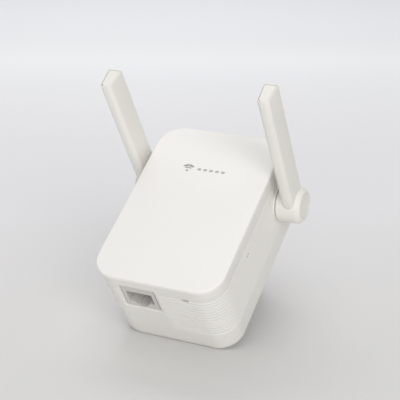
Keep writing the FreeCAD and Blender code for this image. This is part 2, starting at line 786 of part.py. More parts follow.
def heat_sink():
    """A finned aluminium block over the processor: a plate and eight fins."""
    sink = body("heat_sink")
    comb = sketch(sink, "YZ_Plane", "-4", "comb")
    base = f"{BOARD_BACK} + 2.0"
    low, pitch, fins = -13.0, 2.8, 8
    points = [(f"{base}", f"-body_drop + {low}")]
    for number in range(fins):
        start = low + number * pitch
        points += [(f"{base} + 7", f"-body_drop + {start:.1f}"), (f"{base} + 7", f"-body_drop + {start + 1.0:.1f}")]
        if number < fins - 1:
            points += [(f"{base} + 1.5", f"-body_drop + {start + 1.0:.1f}"),
                       (f"{base} + 1.5", f"-body_drop + {start + pitch:.1f}")]
    points.append((f"{base}", f"-body_drop + {low + (fins - 1) * pitch + 1.0:.1f}"))
    polygon(comb, points)
    pad(sink, comb, "22")
    return node(sink, "heat_sink")


def coax_sockets():
    """The two tiny coaxial sockets where the antenna leads meet the main board."""
    sockets = []
    for side in (-1, 1):
        across = f"{side} * (body_width / 2 - shell - 7)"
        height = f"{HINGE_Z} - 16"
        sockets.append(rod("y", (BOARD_BACK, f"{BOARD_BACK} + 0.8"), (across, height), "1.3"))
    return group("coax_sockets", *sockets)


# ---------------------------------------------------------------- power board

def power_board():
    """The mains board behind the radio board, notched round the plug's flange posts."""
    half = "power_board_width / 2"
    span = (POWER_FRONT, f"{POWER_FRONT} + board_thickness")
    plate = block((f"-{half}", half), span, ("-24", "-24 + power_board_height"))
    holes = [rod("y", (f"{POWER_FRONT} - 1", f"{POWER_FRONT} + 3"), (x, z), "2.7") for x, z in BOARD_POSTS]
    return node(cut(plate, *holes), "power_board")


def transformer_core():
    """The ferrite core: an outer frame round the winding and a middle leg through it."""
    span = (f"{POWER_FRONT} - 8.6", f"{POWER_FRONT} - 1.8")
    frame_block = block(("-9", "9"), span, ("-5", "11"))
    window = block(("-6.5", "6.5"), (f"{POWER_FRONT} - 11", f"{POWER_FRONT} + 1"), ("-2.5", "8.5"))
    leg = block(("-2", "2"), span, ("-2.6", "8.6"))
    return node(fuse(cut(frame_block, window), leg), "transformer_core")


def transformer_winding():
    """The taped winding that fills the core's window round the middle leg."""
    coil = block(("-6.3", "6.3"), (f"{POWER_FRONT} - 10.4", POWER_FRONT), ("-2.3", "8.3"))
    leg = block(("-2.1", "2.1"), (f"{POWER_FRONT} - 8.7", f"{POWER_FRONT} - 1.7"), ("-3", "9"))
    return node(cut(coil, leg), "transformer_winding")


def standing_can(name, x, z, radius, height):
    """A round can that stands on the power board and points to the front."""
    can = rod("y", (f"{POWER_FRONT} - {height}", POWER_FRONT), (x, z), radius)
    score = rod("y", (f"{POWER_FRONT} - {height - 0.9}", f"{POWER_FRONT} - {height - 1.5}"), (x, z), radius + 1)
    inner = rod("y", (f"{POWER_FRONT} - {height}", POWER_FRONT), (x, z), radius - 0.3)
    return node(cut(can, cut(score, inner)), name)


def on_power_board(name, x, z, height):
    """A box-shaped component on the power board: spans in x and z, and its height."""
    return node(block(x, (f"{POWER_FRONT} - {height}", POWER_FRONT), z), name)


def line_choke():
    """The toroidal choke that filters the mains."""
    ring = rod("y", (f"{POWER_FRONT} - 6", POWER_FRONT), ("14", "-12"), "5.5")
    return node(cut(ring, rod("y", (f"{POWER_FRONT} - 7", f"{POWER_FRONT} + 1"), ("14", "-12"), "2.2")), "line_choke")


def board_header():
    """Four pins that carry power and ground from the power board to the main board."""
    pins = [block((f"{-14 + 2.54 * n} - 0.32", f"{-14 + 2.54 * n} + 0.32"), (BOARD_BACK, POWER_FRONT), ("-20.3", "-19.7"))
            for n in range(4)]
    return group("board_header", *pins)


# ---------------------------------------------------------------- buttons and indicators

def pairing_button():
    """The round push button in the left wall: a cap with a collar and a stem to its switch."""
    place = (f"{FRONT} + switch_depth", "button_height - body_drop")
    wall = "-body_width / 2 + panel_overhang + 0.2"
    cap = rod("x", (f"{wall} - 0.5", f"{wall} + 3.2"), place, "button_radius")
    collar = rod("x", (f"{wall} + shell + 0.5", f"{wall} + shell + 1.4"), place, "button_radius + 1.0")
    return node(fuse(cap, collar), "pairing_button")


def pairing_switch():
    """The side-acting switch on the main board behind the pairing button."""
    wall = "-body_width / 2 + panel_overhang + 0.2"
    start = f"{wall} + 3.2 + button_travel + 0.3"
    height = "button_height - body_drop"
    return node(block((start, f"{start} + 3.6"), (BOARD_BACK, f"{BOARD_BACK} + 3.2"),
                      (f"{height} - 3", f"{height} + 3")), "pairing_switch")


def reset_switch():
    """The body of the small reset switch at the board's bottom edge, with a hole for its plunger."""
    low = f"{CASE_BOTTOM} + 6.0"
    shell_block = block(("reset_across - 3", "reset_across + 3"), (BOARD_BACK, f"{BOARD_BACK} + 3.2"), (low, f"{low} + 3.6"))
    hole = rod("z", (f"{low} - 1", f"{low} + 3"), ("reset_across", f"{FRONT} + switch_depth"), "0.85")
    return node(cut(shell_block, hole), "reset_switch")


def reset_plunger():
    """The reset switch's plunger, which a pin pushed through the slot reaches."""
    low = f"{CASE_BOTTOM} + 6.0"
    place = ("reset_across", f"{FRONT} + switch_depth")
    return node(rod("z", (f"{low} - 1.4", f"{low} + 1.8"), place, "0.8"), "reset_plunger")


def indicator_windows():
    """Four clear light pipes in the left wall, one for each status light."""
    pipes = []
    wall = "-body_width / 2 + panel_overhang + 0.3"
    for number in range(4):
        height = f"button_height - body_drop + 12 + {number} * window_step"
        pipes.append(rod("x", (wall, f"{wall} + 4"), (f"{FRONT} + switch_depth", height), "0.88"))
    return group("indicator_windows", *pipes)


def status_lights():
    """Four side-firing status lights on the main board, behind their light pipes."""
    lights = []
    start = "-main_board_width / 2 + 0.2"
    for number in range(4):
        height = f"button_height - body_drop + 12 + {number} * window_step"
        lights.append(block((start, f"{start} + 1.2"), (BOARD_BACK, f"{BOARD_BACK} + 2.2"),
                            (f"{height} - 1", f"{height} + 1")))
    return group("status_lights", *lights)


def front_badge():
    """A thin generic mark on the front plate: a ring and a bar, not any maker's sign."""
    height = "badge_height - body_drop"
    span = (f"{FRONT} - 0.08", FRONT)
    ring = cut(rod("y", span, ("-8.6", height), "2.6"),
               rod("y", (f"{FRONT} - 1", f"{FRONT} + 1"), ("-8.6", height), "1.8"))
    bar = block(("-4", "9.4"), span, (f"{height} - 1", f"{height} + 1"))
    return group("front_badge", ring, bar)


# ---------------------------------------------------------------- assembly

front_panel()
rear_housing()
plug_base()
for label, hand in (("left", -1), ("right", 1)):
    plug_pin(f"{label}_plug_pin", hand)
    pin_strap(f"{label}_pin_strap", hand)
    knuckle(f"{label}_knuckle", hand)
    antenna_sleeve(f"{label}_antenna_sleeve", hand)
    antenna_cap(f"{label}_antenna_cap", hand)
    knuckle_disc(f"{label}_knuckle_disc", hand)
    stub_retainer(f"{label}_stub_retainer", hand)
    antenna_element(f"{label}_antenna_strip", hand)
    antenna_lead(f"{label}_antenna_lead", hand)
    case_lead(f"{label}_case_lead", hand)
ethernet_jack()
jack_shield()
jack_contacts()
main_board()
board_screws()
board_posts()
shield_can()
chip("processor", 8.0, -3.0, 14.0, 14.0, (0.0, 1.4))
chip("thermal_pad", 8.0, -3.0, 13.0, 13.0, (1.4, 2.0))
chip("memory_chip", -12.0, 2.0, 8.0, 6.0, (0.0, 1.1))
chip("network_transformer", -10.5, -12.0, 12.0, 7.0, (0.0, 3.0))
chip("clock_crystal", -8.0, 8.0, 3.2, 2.5, (0.0, 0.8))
heat_sink()
coax_sockets()
power_board()
transformer_core()
transformer_winding()
standing_can("input_capacitor", "-16", "8", 4.0, 10.5)
standing_can("output_capacitor", "-15", "-12", 3.2, 10.0)
line_choke()
on_power_board("bridge_rectifier", ("10", "15.5"), ("13", "17"), 2.6)
on_power_board("mains_fuse", ("11", "20"), ("1", "5"), 3.2)
on_power_board("safety_capacitor", ("-4", "4"), ("-14", "-9"), 6.0)
on_power_board("power_controller", ("-3", "3"), ("13", "18"), 1.8)
board_header()
pairing_button()
pairing_switch()
reset_switch()
reset_plunger()
indicator_windows()
status_lights()
front_badge()

doc.recompute()

for thing in doc.Objects:
    if {"Invalid", "Error"} & set(thing.State):
        raise RuntimeError(f"{thing.Name} ({thing.Label}) failed: {thing.State}")
for piece in pieces:
    if piece.Shape.isNull() or not piece.Shape.isValid() or not piece.Shape.Solids:
        raise RuntimeError(f"{piece.Label} has no valid solid")
for piece in pieces:
    piece.Shape.exportStep(f"parts/{piece.Label}.step")
    print(f"{piece.Label}: {len(piece.Shape.Solids)} solid, {piece.Shape.Volume:.0f} mm3")
print(len(pieces), "nodes")
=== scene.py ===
"""Visual model of a plug-in wireless range extender, laid out as a Blender add-on.

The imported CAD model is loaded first, so every size below starts from a CAD node's box.  Shapes are
worked out in millimetres, in the part's own frame: +X right, +Y into the wall socket, +Z up.
"""
import json
import math

import bpy
import numpy as np
from bpy.props import FloatProperty, FloatVectorProperty, PointerProperty
from mathutils import Matrix, Vector


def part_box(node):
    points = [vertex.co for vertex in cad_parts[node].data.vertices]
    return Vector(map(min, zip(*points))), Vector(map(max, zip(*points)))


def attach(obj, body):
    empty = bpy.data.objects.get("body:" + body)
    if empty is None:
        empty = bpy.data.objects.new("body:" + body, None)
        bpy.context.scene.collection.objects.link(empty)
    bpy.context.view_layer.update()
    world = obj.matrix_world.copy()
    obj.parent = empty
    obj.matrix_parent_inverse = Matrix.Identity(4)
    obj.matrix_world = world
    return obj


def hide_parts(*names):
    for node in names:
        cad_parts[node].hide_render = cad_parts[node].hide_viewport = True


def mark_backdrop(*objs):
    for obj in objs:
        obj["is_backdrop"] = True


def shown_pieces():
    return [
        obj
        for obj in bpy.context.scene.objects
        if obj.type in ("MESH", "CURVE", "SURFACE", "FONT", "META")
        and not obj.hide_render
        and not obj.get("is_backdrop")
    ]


bl_info = {
    "name": "Range Extender Parts",
    "version": (1, 0, 0),
    "blender": (4, 5, 0),
    "location": "3D View > Sidebar > Extender",
    "description": "Builds the case, plug, hinges, antennas and small parts of a range extender",
    "category": "Add Mesh",
}

MM = 0.001
SIDES = (("left", -1), ("right", 1))

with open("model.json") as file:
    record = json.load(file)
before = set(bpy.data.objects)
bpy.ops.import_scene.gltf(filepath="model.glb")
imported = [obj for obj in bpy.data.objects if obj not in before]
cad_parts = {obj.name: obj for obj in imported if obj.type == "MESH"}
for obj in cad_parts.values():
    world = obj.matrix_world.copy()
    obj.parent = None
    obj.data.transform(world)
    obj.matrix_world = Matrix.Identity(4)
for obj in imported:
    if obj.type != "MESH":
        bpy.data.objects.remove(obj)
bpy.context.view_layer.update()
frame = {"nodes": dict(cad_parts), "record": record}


def corners(node):
    """A CAD node's lowest and highest corner, in millimetres."""
    low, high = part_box(node)
    return np.array(low) / MM, np.array(high) / MM


# ---------------------------------------------------------------- sizes read from the frame

PLATE_LOW, PLATE_HIGH = corners("front_panel")
KNUCKLE_LOW, KNUCKLE_HIGH = corners("right_knuckle")
JACK_LOW, JACK_HIGH = corners("ethernet_jack")
PIN_LOW, PIN_HIGH = corners("right_plug_pin")
BUTTON_LOW, BUTTON_HIGH = corners("pairing_button")
BADGE_LOW, BADGE_HIGH = corners("front_badge")
LIGHTS_LOW, LIGHTS_HIGH = corners("indicator_windows")

FRONT = PLATE_LOW[1]
BACK = corners("rear_housing")[1][1]
DEPTH = BACK - FRONT
WIDTH = PLATE_HIGH[0] - PLATE_LOW[0]
HEIGHT = PLATE_HIGH[2] - PLATE_LOW[2]
CENTRE_Z = (PLATE_LOW[2] + PLATE_HIGH[2]) / 2
HINGE_Y = (KNUCKLE_LOW[1] + KNUCKLE_HIGH[1]) / 2
HINGE_Z = (KNUCKLE_LOW[2] + KNUCKLE_HIGH[2]) / 2
KNUCKLE_RADIUS = (KNUCKLE_HIGH[2] - KNUCKLE_LOW[2]) / 2
KNUCKLE_OUTER = KNUCKLE_HIGH[0]

# Sizes that the part's drawing gives and its boxes don't.
CORNER_RADIUS = 10.5
SIDE_DRAFT = 0.8
BACK_BEVEL = 0.8
SHELL = 2.0
PLATE_THICKNESS = 2.0
OVERHANG = 0.3
SEAM = 0.3
LIP_LENGTH = 2.6
RECESS_WIDTH = 18.4
RECESS_THICKNESS = 15.2
RESET_WIDTH = 3.2
RESET_THICKNESS = 1.8
PRY_DEPTH = 13.0
PRY_HEIGHT = -11.5
BUTTON_RADIUS = 3.0
LIGHT_RADIUS = 0.88
LIGHT_HOLE_RADIUS = 0.9
PLUG_RADIUS = 18.5
PIN_RADIUS = 2.4
PIN_ROOT_RADIUS = 2.8
STUB_RADIUS = 3.5
KNUCKLE_BEVEL = 1.8
DISC_RADIUS = 5.2
BLADE_FOOT = 0.8
BLADE_LENGTH = 66.4
BLADE_ACROSS = WIDTH / 2 + 5.95
BLADE_HALF_WIDTH = 3.15
BLADE_NOSE = 6.7
BLADE_BACK = 4.3
BLADE_SOFT = 0.5
CAP_THICKNESS = 1.2
REST_ANGLE = {"left": 89.0, "right": 88.0}
SWITCH_DEPTH = 8.6
RESET_ACROSS = 12.8
VENT_WIDTH = 36.0
VENT_SLOT = 0.7
VENT_START = 12.0
VENT_PITCH = 1.9
VENT_ROWS = 10
RIB_FIRST = VENT_START - 2 * VENT_PITCH
RIB_ROWS = 13


# ---------------------------------------------------------------- surfaces

def smooth_step(value, start, end):
    """0 before start, 1 after end, and 3t^2 - 2t^3 between them."""
    t = np.clip((value - start) / (end - start), 0.0, 1.0)
    return t * t * (3.0 - 2.0 * t)


def circle(radius, count=64):
    """Points r(cos a, sin a) and their outward normals, as two (count, 2) arrays."""
    angle = np.linspace(0.0, math.tau, count, endpoint=False)
    normal = np.stack([np.cos(angle), np.sin(angle)], axis=1)
    return radius * normal, normal


def rounded_rectangle(width, height, radius, wide_steps=8, tall_steps=8, corner_steps=6):
    """Points and outward normals of a rounded rectangle about the origin, anticlockwise.

    Each corner is a quarter circle of the radius about its centre, and each side the straight line
    from one quarter circle to the next.
    """
    points, normals = [], []
    for number, (x, y) in enumerate(((1, 1), (-1, 1), (-1, -1), (1, -1))):
        angle = math.pi / 2 * (number + np.linspace(0.0, 1.0, corner_steps))
        normal = np.stack([np.cos(angle), np.sin(angle)], axis=1)
        centre = np.array([x * (width / 2 - radius), y * (height / 2 - radius)])
        arc = centre + radius * normal
        following = np.array([[-y * (width / 2 - radius), x * (height / 2 - radius)]])
        following = following + radius * normal[-1]
        steps = wide_steps if number % 2 == 0 else tall_steps
        along = np.linspace(0.0, 1.0, steps + 1)[1:-1, None]
        points += [arc, arc[-1] + along * (following - arc[-1])]
        normals += [normal, np.repeat(normal[-1:], len(along), axis=0)]
    return np.vstack(points), np.vstack(normals)


def corner_curves(before, corner, after, soft, steps):
    """Each corner c between its neighbours as the curve (1-t)^2 p + 2t(1-t) c + t^2 q.

    p and q lie on the corner's two sides, the soft distance away from it.
    """
    t = np.linspace(0.0, 1.0, steps)[None, :, None]

    def toward(other):
        way = other - corner
        length = np.linalg.norm(way, axis=1, keepdims=True)
        return (corner + way / length * np.minimum(soft, 0.45 * length))[:, None]

    start, end = toward(before), toward(after)
    curve = (1 - t) ** 2 * start + 2 * t * (1 - t) * corner[:, None] + t ** 2 * end
    return curve.reshape(-1, 2)


def polygon(points, soft, steps=4):
    """A closed outline with every corner softened."""
    corner = np.array(points, float)
    return corner_curves(np.roll(corner, 1, axis=0), corner, np.roll(corner, -1, axis=0), soft, steps)


def soften(profile, soft, steps=4):
    """An open profile with every corner between its two ends softened."""
    line = np.array(profile, float)
    curves = corner_curves(line[:-2], line[1:-1], line[2:], soft, steps)
    return np.vstack([line[:1], curves, line[-1:]])


def in_space(flat, along, axis):
    """Points of a flat outline at a place along an axis: (u, v) is (x, z), (x, y) or (y, z)."""
    level = np.full(len(flat), float(along))
    columns = {
        "x": (level, flat[:, 0], flat[:, 1]),
        "y": (flat[:, 0], level, flat[:, 1]),
        "z": (flat[:, 0], flat[:, 1], level),
    }[axis]
    return np.stack(columns, axis=1)


def extruded(outline, levels, axis, centre=(0.0, 0.0)):
    """A grid whose row for each (along, grow) is the outline moved out by grow along its normals."""
    flat, normal = outline
    rows = [in_space(flat + grow * normal + np.array(centre), along, axis) for along, grow in levels]
    return np.stack(rows)


def turned(profile, axis, centre=(0.0, 0.0, 0.0), count=96):
    """A grid for a turned shape: each profile point (s, r) becomes the circle of radius r at s."""
    profile = np.asarray(profile, float)
    ring, _ = circle(1.0, count)
    rows = [in_space(max(radius, 0.0) * ring, along, axis) for along, radius in profile]
    return np.stack(rows) + np.array(centre)


def shell(points, closed=False):
    """Vertices and faces of a grid of rows and columns that wraps round its columns.

    It wraps round its rows too if closed; otherwise a centre point closes each end.  The faces are
    turned over if the signed volume, the sum of a . (b x c) / 6 over the triangles, is negative.
    """
    rows, columns = points.shape[:2]
    vertices = points.reshape(-1, 3)
    row = np.arange(rows if closed else rows - 1)[:, None]
    column = np.arange(columns)[None, :]
    beside, above = (column + 1) % columns, (row + 1) % rows
    quads = np.stack([row * columns + column, row * columns + beside,
                      above * columns + beside, above * columns + column], axis=-1).reshape(-1, 4)
    faces = [quads]
    triangles = [quads[:, :3], quads[:, [0, 2, 3]]]
    if not closed:
        ends = points[[0, -1]].mean(axis=1)
        vertices = np.vstack([vertices, ends])
        ring, following = column[0], beside[0]
        top = (rows - 1) * columns
        near = np.stack([following, ring, np.full(columns, rows * columns)], axis=1)
        far = np.stack([top + ring, top + following, np.full(columns, rows * columns + 1)], axis=1)
        faces += [near, far]
        triangles += [near, far]
    corner = vertices[np.vstack(triangles)]
    volume = np.sum(corner[:, 0] * np.cross(corner[:, 1], corner[:, 2]))
    if volume < 0:
        faces = [group[:, ::-1] for group in faces]
    return vertices, faces


def mesh_object(name, *shells, sharp=32.0):
    """One mesh object from several shells, smooth except at edges sharper than the angle."""
    vertices, faces, offset = [], [], 0
    for points, groups in shells:
        vertices.append(points * MM)
        faces += [face for group in groups for face in (group + offset).tolist()]
        offset += len(points)
    mesh = bpy.data.meshes.new(name)
    mesh.from_pydata(np.vstack(vertices).tolist(), [], faces)
    made = bpy.data.objects.new(name, mesh)
    bpy.context.scene.collection.objects.link(made)
    shade(mesh, sharp)
    return made


def shade(mesh, sharp):
    """Smooth shading that breaks at edges sharper than the angle, in degrees."""
    mesh.polygons.foreach_set("use_smooth", np.ones(len(mesh.polygons), bool))
    mesh.set_sharp_from_angle(angle=math.radians(sharp))
    mesh.update()


def combine(target, operation, *shells, sharp=32.0):
    """Cut closed shells out of a mesh object, or join them to it, with the exact Boolean."""
    tool = mesh_object("cutter", *shells)
    modifier = target.modifiers.new("combine", "BOOLEAN")
    modifier.operation = operation
    modifier.solver = "EXACT"
    modifier.use_self = len(shells) > 1
    modifier.object = tool
    graph = bpy.context.evaluated_depsgraph_get()
    made = bpy.data.meshes.new_from_object(target.evaluated_get(graph))
    if not made.polygons:
        raise RuntimeError(f"the Boolean left nothing of {target.name}")
    target.modifiers.remove(modifier)
    old = target.data
    target.data = made
    bpy.data.meshes.remove(old)
    old = tool.data
    bpy.data.objects.remove(tool)
    bpy.data.meshes.remove(old)
    made.name = target.name
    shade(made, sharp)


def settle(piece, body, material, slot, *nodes):
    """Give a finished piece its material and its body, and hide the CAD nodes it replaces; the slot argument
    is not used.
    """
    piece.data.materials.clear()
    piece.data.materials.append(material)
    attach(piece, body)
    if nodes:
        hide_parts(*nodes)


# ---------------------------------------------------------------- materials

class Value:
    """A node's output that does arithmetic: an expression on it adds Math nodes."""

    def __init__(self, finish, socket):
        self.finish = finish
        self.socket = socket

    def _with(self, operation, other):
        made = self.finish.node("ShaderNodeMath", {"operation": operation}, {0: self, 1: other})
        return Value(self.finish, made.outputs[0])

    def __add__(self, other):
        return self._with("ADD", other)

    def __mul__(self, other):
        return self._with("MULTIPLY", other)

    def above(self, limit):
        return self._with("GREATER_THAN", limit)


class Finish:
    """One material and the nodes in it."""

    def __init__(self, name):
        self.material = bpy.data.materials.new(name)
        self.material.use_nodes = True
        self.tree = self.material.node_tree
        self.tree.nodes.clear()
        self.place = self.node("ShaderNodeTexCoord").outputs["Object"]

    def node(self, kind, settings=None, sockets=None):
        """Add a node, make its settings, then set its sockets to numbers, colours or links."""
        made = self.tree.nodes.new(kind)
        for name, setting in (settings or {}).items():
            if name == "stops":
                self.set_stops(made.color_ramp, setting)
            else:
                setattr(made, name, setting)
        for name, given in (sockets or {}).items():
            socket = made.inputs[name]
            given = given.socket if isinstance(given, Value) else given
            if isinstance(given, bpy.types.NodeSocket):
                self.tree.links.new(given, socket)
            else:
                socket.default_value = given
        return made

    @staticmethod
    def set_stops(ramp, stops):
        """Set a colour ramp to (position, colour) stops."""
        while len(ramp.elements) < len(stops):
            ramp.elements.new(1.0)
        for element, (position, colour) in zip(ramp.elements, stops):
            element.position = position
            element.color = (*colour, 1.0)

    def noise(self, scale, detail=2.0, stretch=(1.0, 1.0, 1.0)):
        """Noise with so many cells per metre, drawn out along the axes whose stretch is small."""
        spot = self.node("ShaderNodeMapping", None, {"Vector": self.place, "Scale": stretch}).outputs[0]
        made = self.node("ShaderNodeTexNoise", None,
                         {"Vector": spot, "Scale": scale, "Detail": detail, "Roughness": 0.55})
        return Value(self, made.outputs[0])

    def blend(self, mask, first, second):
        """The first colour where the mask is 0 and the second where it is 1."""
        first, second = (given if isinstance(given, bpy.types.NodeSocket) else (*given, 1.0)
                         for given in (first, second))
        made = self.node("ShaderNodeMix", {"data_type": "RGBA"}, {0: mask, 6: first, 7: second})
        return made.outputs[2]

    def bump(self, height, distance, strength=1.0):
        made = self.node("ShaderNodeBump", None,
                         {"Height": height, "Distance": distance, "Strength": strength})
        return made.outputs[0]

    def shader(self, **sockets):
        """The Principled shader, with underscores in its sockets' names as spaces."""
        named = {name.replace("_", " "): given for name, given in sockets.items()}
        made = self.node("ShaderNodeBsdfPrincipled", None, named)
        return made.outputs[0]

    def done(self, surface):
        self.node("ShaderNodeOutputMaterial", None, {"Surface": surface})
        return self.material


def shaded(colour, factor):
    """A colour times a number."""
    return tuple(channel * factor for channel in colour)


def plastic(name, colour, roughness=0.42, grain=5200.0, height=0.000006, mottle=0.04, specular=0.4):
    """Moulded plastic: a fine spark-eroded grain, and a faint broad change of tone and gloss."""
    finish = Finish(name)
    broad = finish.noise(38.0, 3.0)
    fine = finish.noise(grain, 2.0)
    tone = finish.blend(broad, shaded(colour, 1.0 - mottle), shaded(colour, 1.0 + mottle * 0.5))
    gloss = broad * 0.10 + (roughness - 0.05)
    surface = finish.shader(Base_Color=tone, Roughness=gloss, Normal=finish.bump(fine, height),
                            Specular_IOR_Level=specular, IOR=1.48)
    return finish.done(surface)


def metal(name, colour, roughness=0.25, stretch=(1.0, 0.05, 1.0), scratch=2600.0):
    """Plated metal: fine lines along its length and a cloudy change of gloss."""
    finish = Finish(name)
    lines = finish.noise(scratch, 3.0, stretch)
    cloud = finish.noise(140.0, 3.0)
    tone = finish.blend(cloud, shaded(colour, 0.88), colour)
    surface = finish.shader(Base_Color=tone, Metallic=1.0, Roughness=lines * 0.16 + (roughness - 0.08),
                            Normal=finish.bump(lines, 0.000003))
    return finish.done(surface)


def board(name, colour):
    """Solder mask over copper: pale tracks show through as cells of a lighter green."""
    finish = Finish(name)
    cells = finish.node("ShaderNodeTexVoronoi", {"distance": "MANHATTAN", "feature": "F1"},
                        {"Vector": finish.place, "Scale": 420.0})
    tracks = Value(finish, cells.outputs["Distance"]).above(0.42)
    tone = finish.blend(tracks, colour, shaded(colour, 1.7))
    surface = finish.shader(Base_Color=tone, Roughness=0.35, Normal=finish.bump(tracks, 0.00003))
    return finish.done(surface)


def clear(name, colour):
    """A clear moulded light pipe with a cloudy core."""
    finish = Finish(name)
    cloud = finish.noise(900.0, 2.0)
    tone = finish.blend(cloud, colour, shaded(colour, 0.9))
    surface = finish.shader(Base_Color=tone, Roughness=cloud * 0.1 + 0.12, Transmission_Weight=0.6, IOR=1.49)
    return finish.done(surface)


def slot_materials(colours):
    """One material for each slot of the record that a CAD node or a new piece uses."""
    white, antenna = tuple(colours.plate), tuple(colours.antenna)
    return {
        "front_white": plastic("satin_white_plate", white, 0.38, 4200.0, 0.000004, 0.02),
        "case_white": plastic("grained_white_case", tuple(colours.case), 0.5, 5200.0, 0.000010, 0.03),
        "antenna_white": plastic("grained_white_antenna", antenna, 0.46, 5200.0, 0.000008, 0.03),
        "plug_white": plastic("hard_white_plug", shaded(white, 0.97), 0.35),
        "button_white": plastic("button_white", shaded(white, 0.98), 0.35),
        "badge_grey": plastic("printed_silver_grey", tuple(colours.badge), 0.4, 7000.0, 0.000002, 0.05),
        "window_clear": clear("clear_light_pipe", (0.85, 0.87, 0.88)),
        "pin_metal": metal("nickel_plate", (0.70, 0.68, 0.64)),
        "brass_strip": metal("brass_strip", (0.72, 0.52, 0.24), 0.3),
        "contact_gold": metal("gold_contact", (0.85, 0.62, 0.28), 0.22),
        "shield_metal": metal("tinned_shield", (0.66, 0.66, 0.65), 0.32, (1.0, 1.0, 0.08)),
        "screw_steel": metal("screw_steel", (0.55, 0.55, 0.56), 0.3),
        "sink_metal": metal("anodised_sink", (0.42, 0.43, 0.45), 0.42),
        "jack_plastic": plastic("jack_plastic", tuple(colours.jack), 0.45, mottle=0.06),
        "board_green": board("solder_mask", (0.03, 0.19, 0.09)),
        "chip_black": plastic("chip_epoxy", (0.025, 0.025, 0.028), 0.55, 8000.0, 0.00001, 0.2),
        "pad_grey": plastic("thermal_pad", (0.33, 0.36, 0.42), 0.8, 3000.0, 0.00003, 0.15),
        "ferrite_grey": plastic("ferrite", (0.08, 0.08, 0.085), 0.7, 4000.0, 0.00003, 0.2),
        "tape_yellow": plastic("winding_tape", (0.82, 0.62, 0.08), 0.3, 900.0, 0.00002, 0.1),
        "can_metal": metal("capacitor_can", (0.68, 0.68, 0.69), 0.3),
        "film_blue": plastic("film_capacitor", (0.06, 0.16, 0.42), 0.35, 1500.0, 0.00002, 0.1),
        "lead_grey": plastic("lead_jacket", (0.22, 0.22, 0.23), 0.5, 4000.0, 0.00001, 0.12),
        "light_yellow": plastic("status_light", (0.86, 0.80, 0.42), 0.25, 3000.0, 0.00001, 0.08),
    }


MATERIALS = {}


def material(slot):
    """The material of a record slot, made with all the others on first use."""
    if not MATERIALS:
        MATERIALS.update(slot_materials(bpy.context.scene.extender_colours))
    return MATERIALS[slot]


# ---------------------------------------------------------------- case

def wall_outline(depth, inset, wide_steps=40, tall_steps=66, corner_steps=16):
    """The case wall's outline at a depth behind the front face, moved in by an inset."""
    narrower = 2 * (OVERHANG + SIDE_DRAFT * depth / DEPTH + inset)
    return rounded_rectangle(WIDTH - narrower, HEIGHT - narrower, CORNER_RADIUS - inset,
                             wide_steps, tall_steps, corner_steps)


def rib_mask(flat, normal, depth):
    """1 where the case wall is ribbed and 0 where it is plain, for outline points at a depth.

    Plain are the bottom wall left of and around the socket, a disc around each hinge, and the
    front part of the left wall that holds the button and the light pipes.
    """
    across, up = flat[:, 0], flat[:, 1]
    bottom = smooth_step(-normal[:, 1], 0.3, 0.6)
    socket_end = JACK_HIGH[0] + 2.0
    plain = bottom * (1.0 - smooth_step(across, socket_end, socket_end + 2.0))
    reach = np.hypot(FRONT + depth - HINGE_Y, up + CENTRE_Z - HINGE_Z)
    side = smooth_step(np.abs(normal[:, 0]), 0.3, 0.6)
    plain = np.maximum(plain, side * (1.0 - smooth_step(reach, KNUCKLE_RADIUS + 0.6, KNUCKLE_RADIUS + 1.8)))
    left = smooth_step(-normal[:, 0], 0.3, 0.6) * (1.0 - smooth_step(depth, 11.5, 13.0))
    low, high = BUTTON_LOW[2] - CENTRE_Z - 3.0, LIGHTS_HIGH[2] - CENTRE_Z + 3.0
    beside = smooth_step(up, low - 1.5, low) * (1.0 - smooth_step(up, high, high + 1.5))
    return 1.0 - np.maximum(plain, left * beside)


def outer_wall_row(depth, rib_depth):
    """The outer wall at a depth: the outline, sunk by a raised cosine of the depth for each rib."""
    flat, normal = wall_outline(depth, 0.0)
    last = RIB_FIRST + (RIB_ROWS - 1) * VENT_PITCH
    if RIB_FIRST - VENT_PITCH / 2 < depth < last + VENT_PITCH / 2:
        wave = 0.5 + 0.5 * math.cos(math.tau * (depth - RIB_FIRST) / VENT_PITCH)
        sunk = rib_depth * wave * rib_mask(flat, normal, depth)
        flat = flat - sunk[:, None] * normal
    return in_space(flat + np.array([0.0, CENTRE_Z]), FRONT + depth, "y")


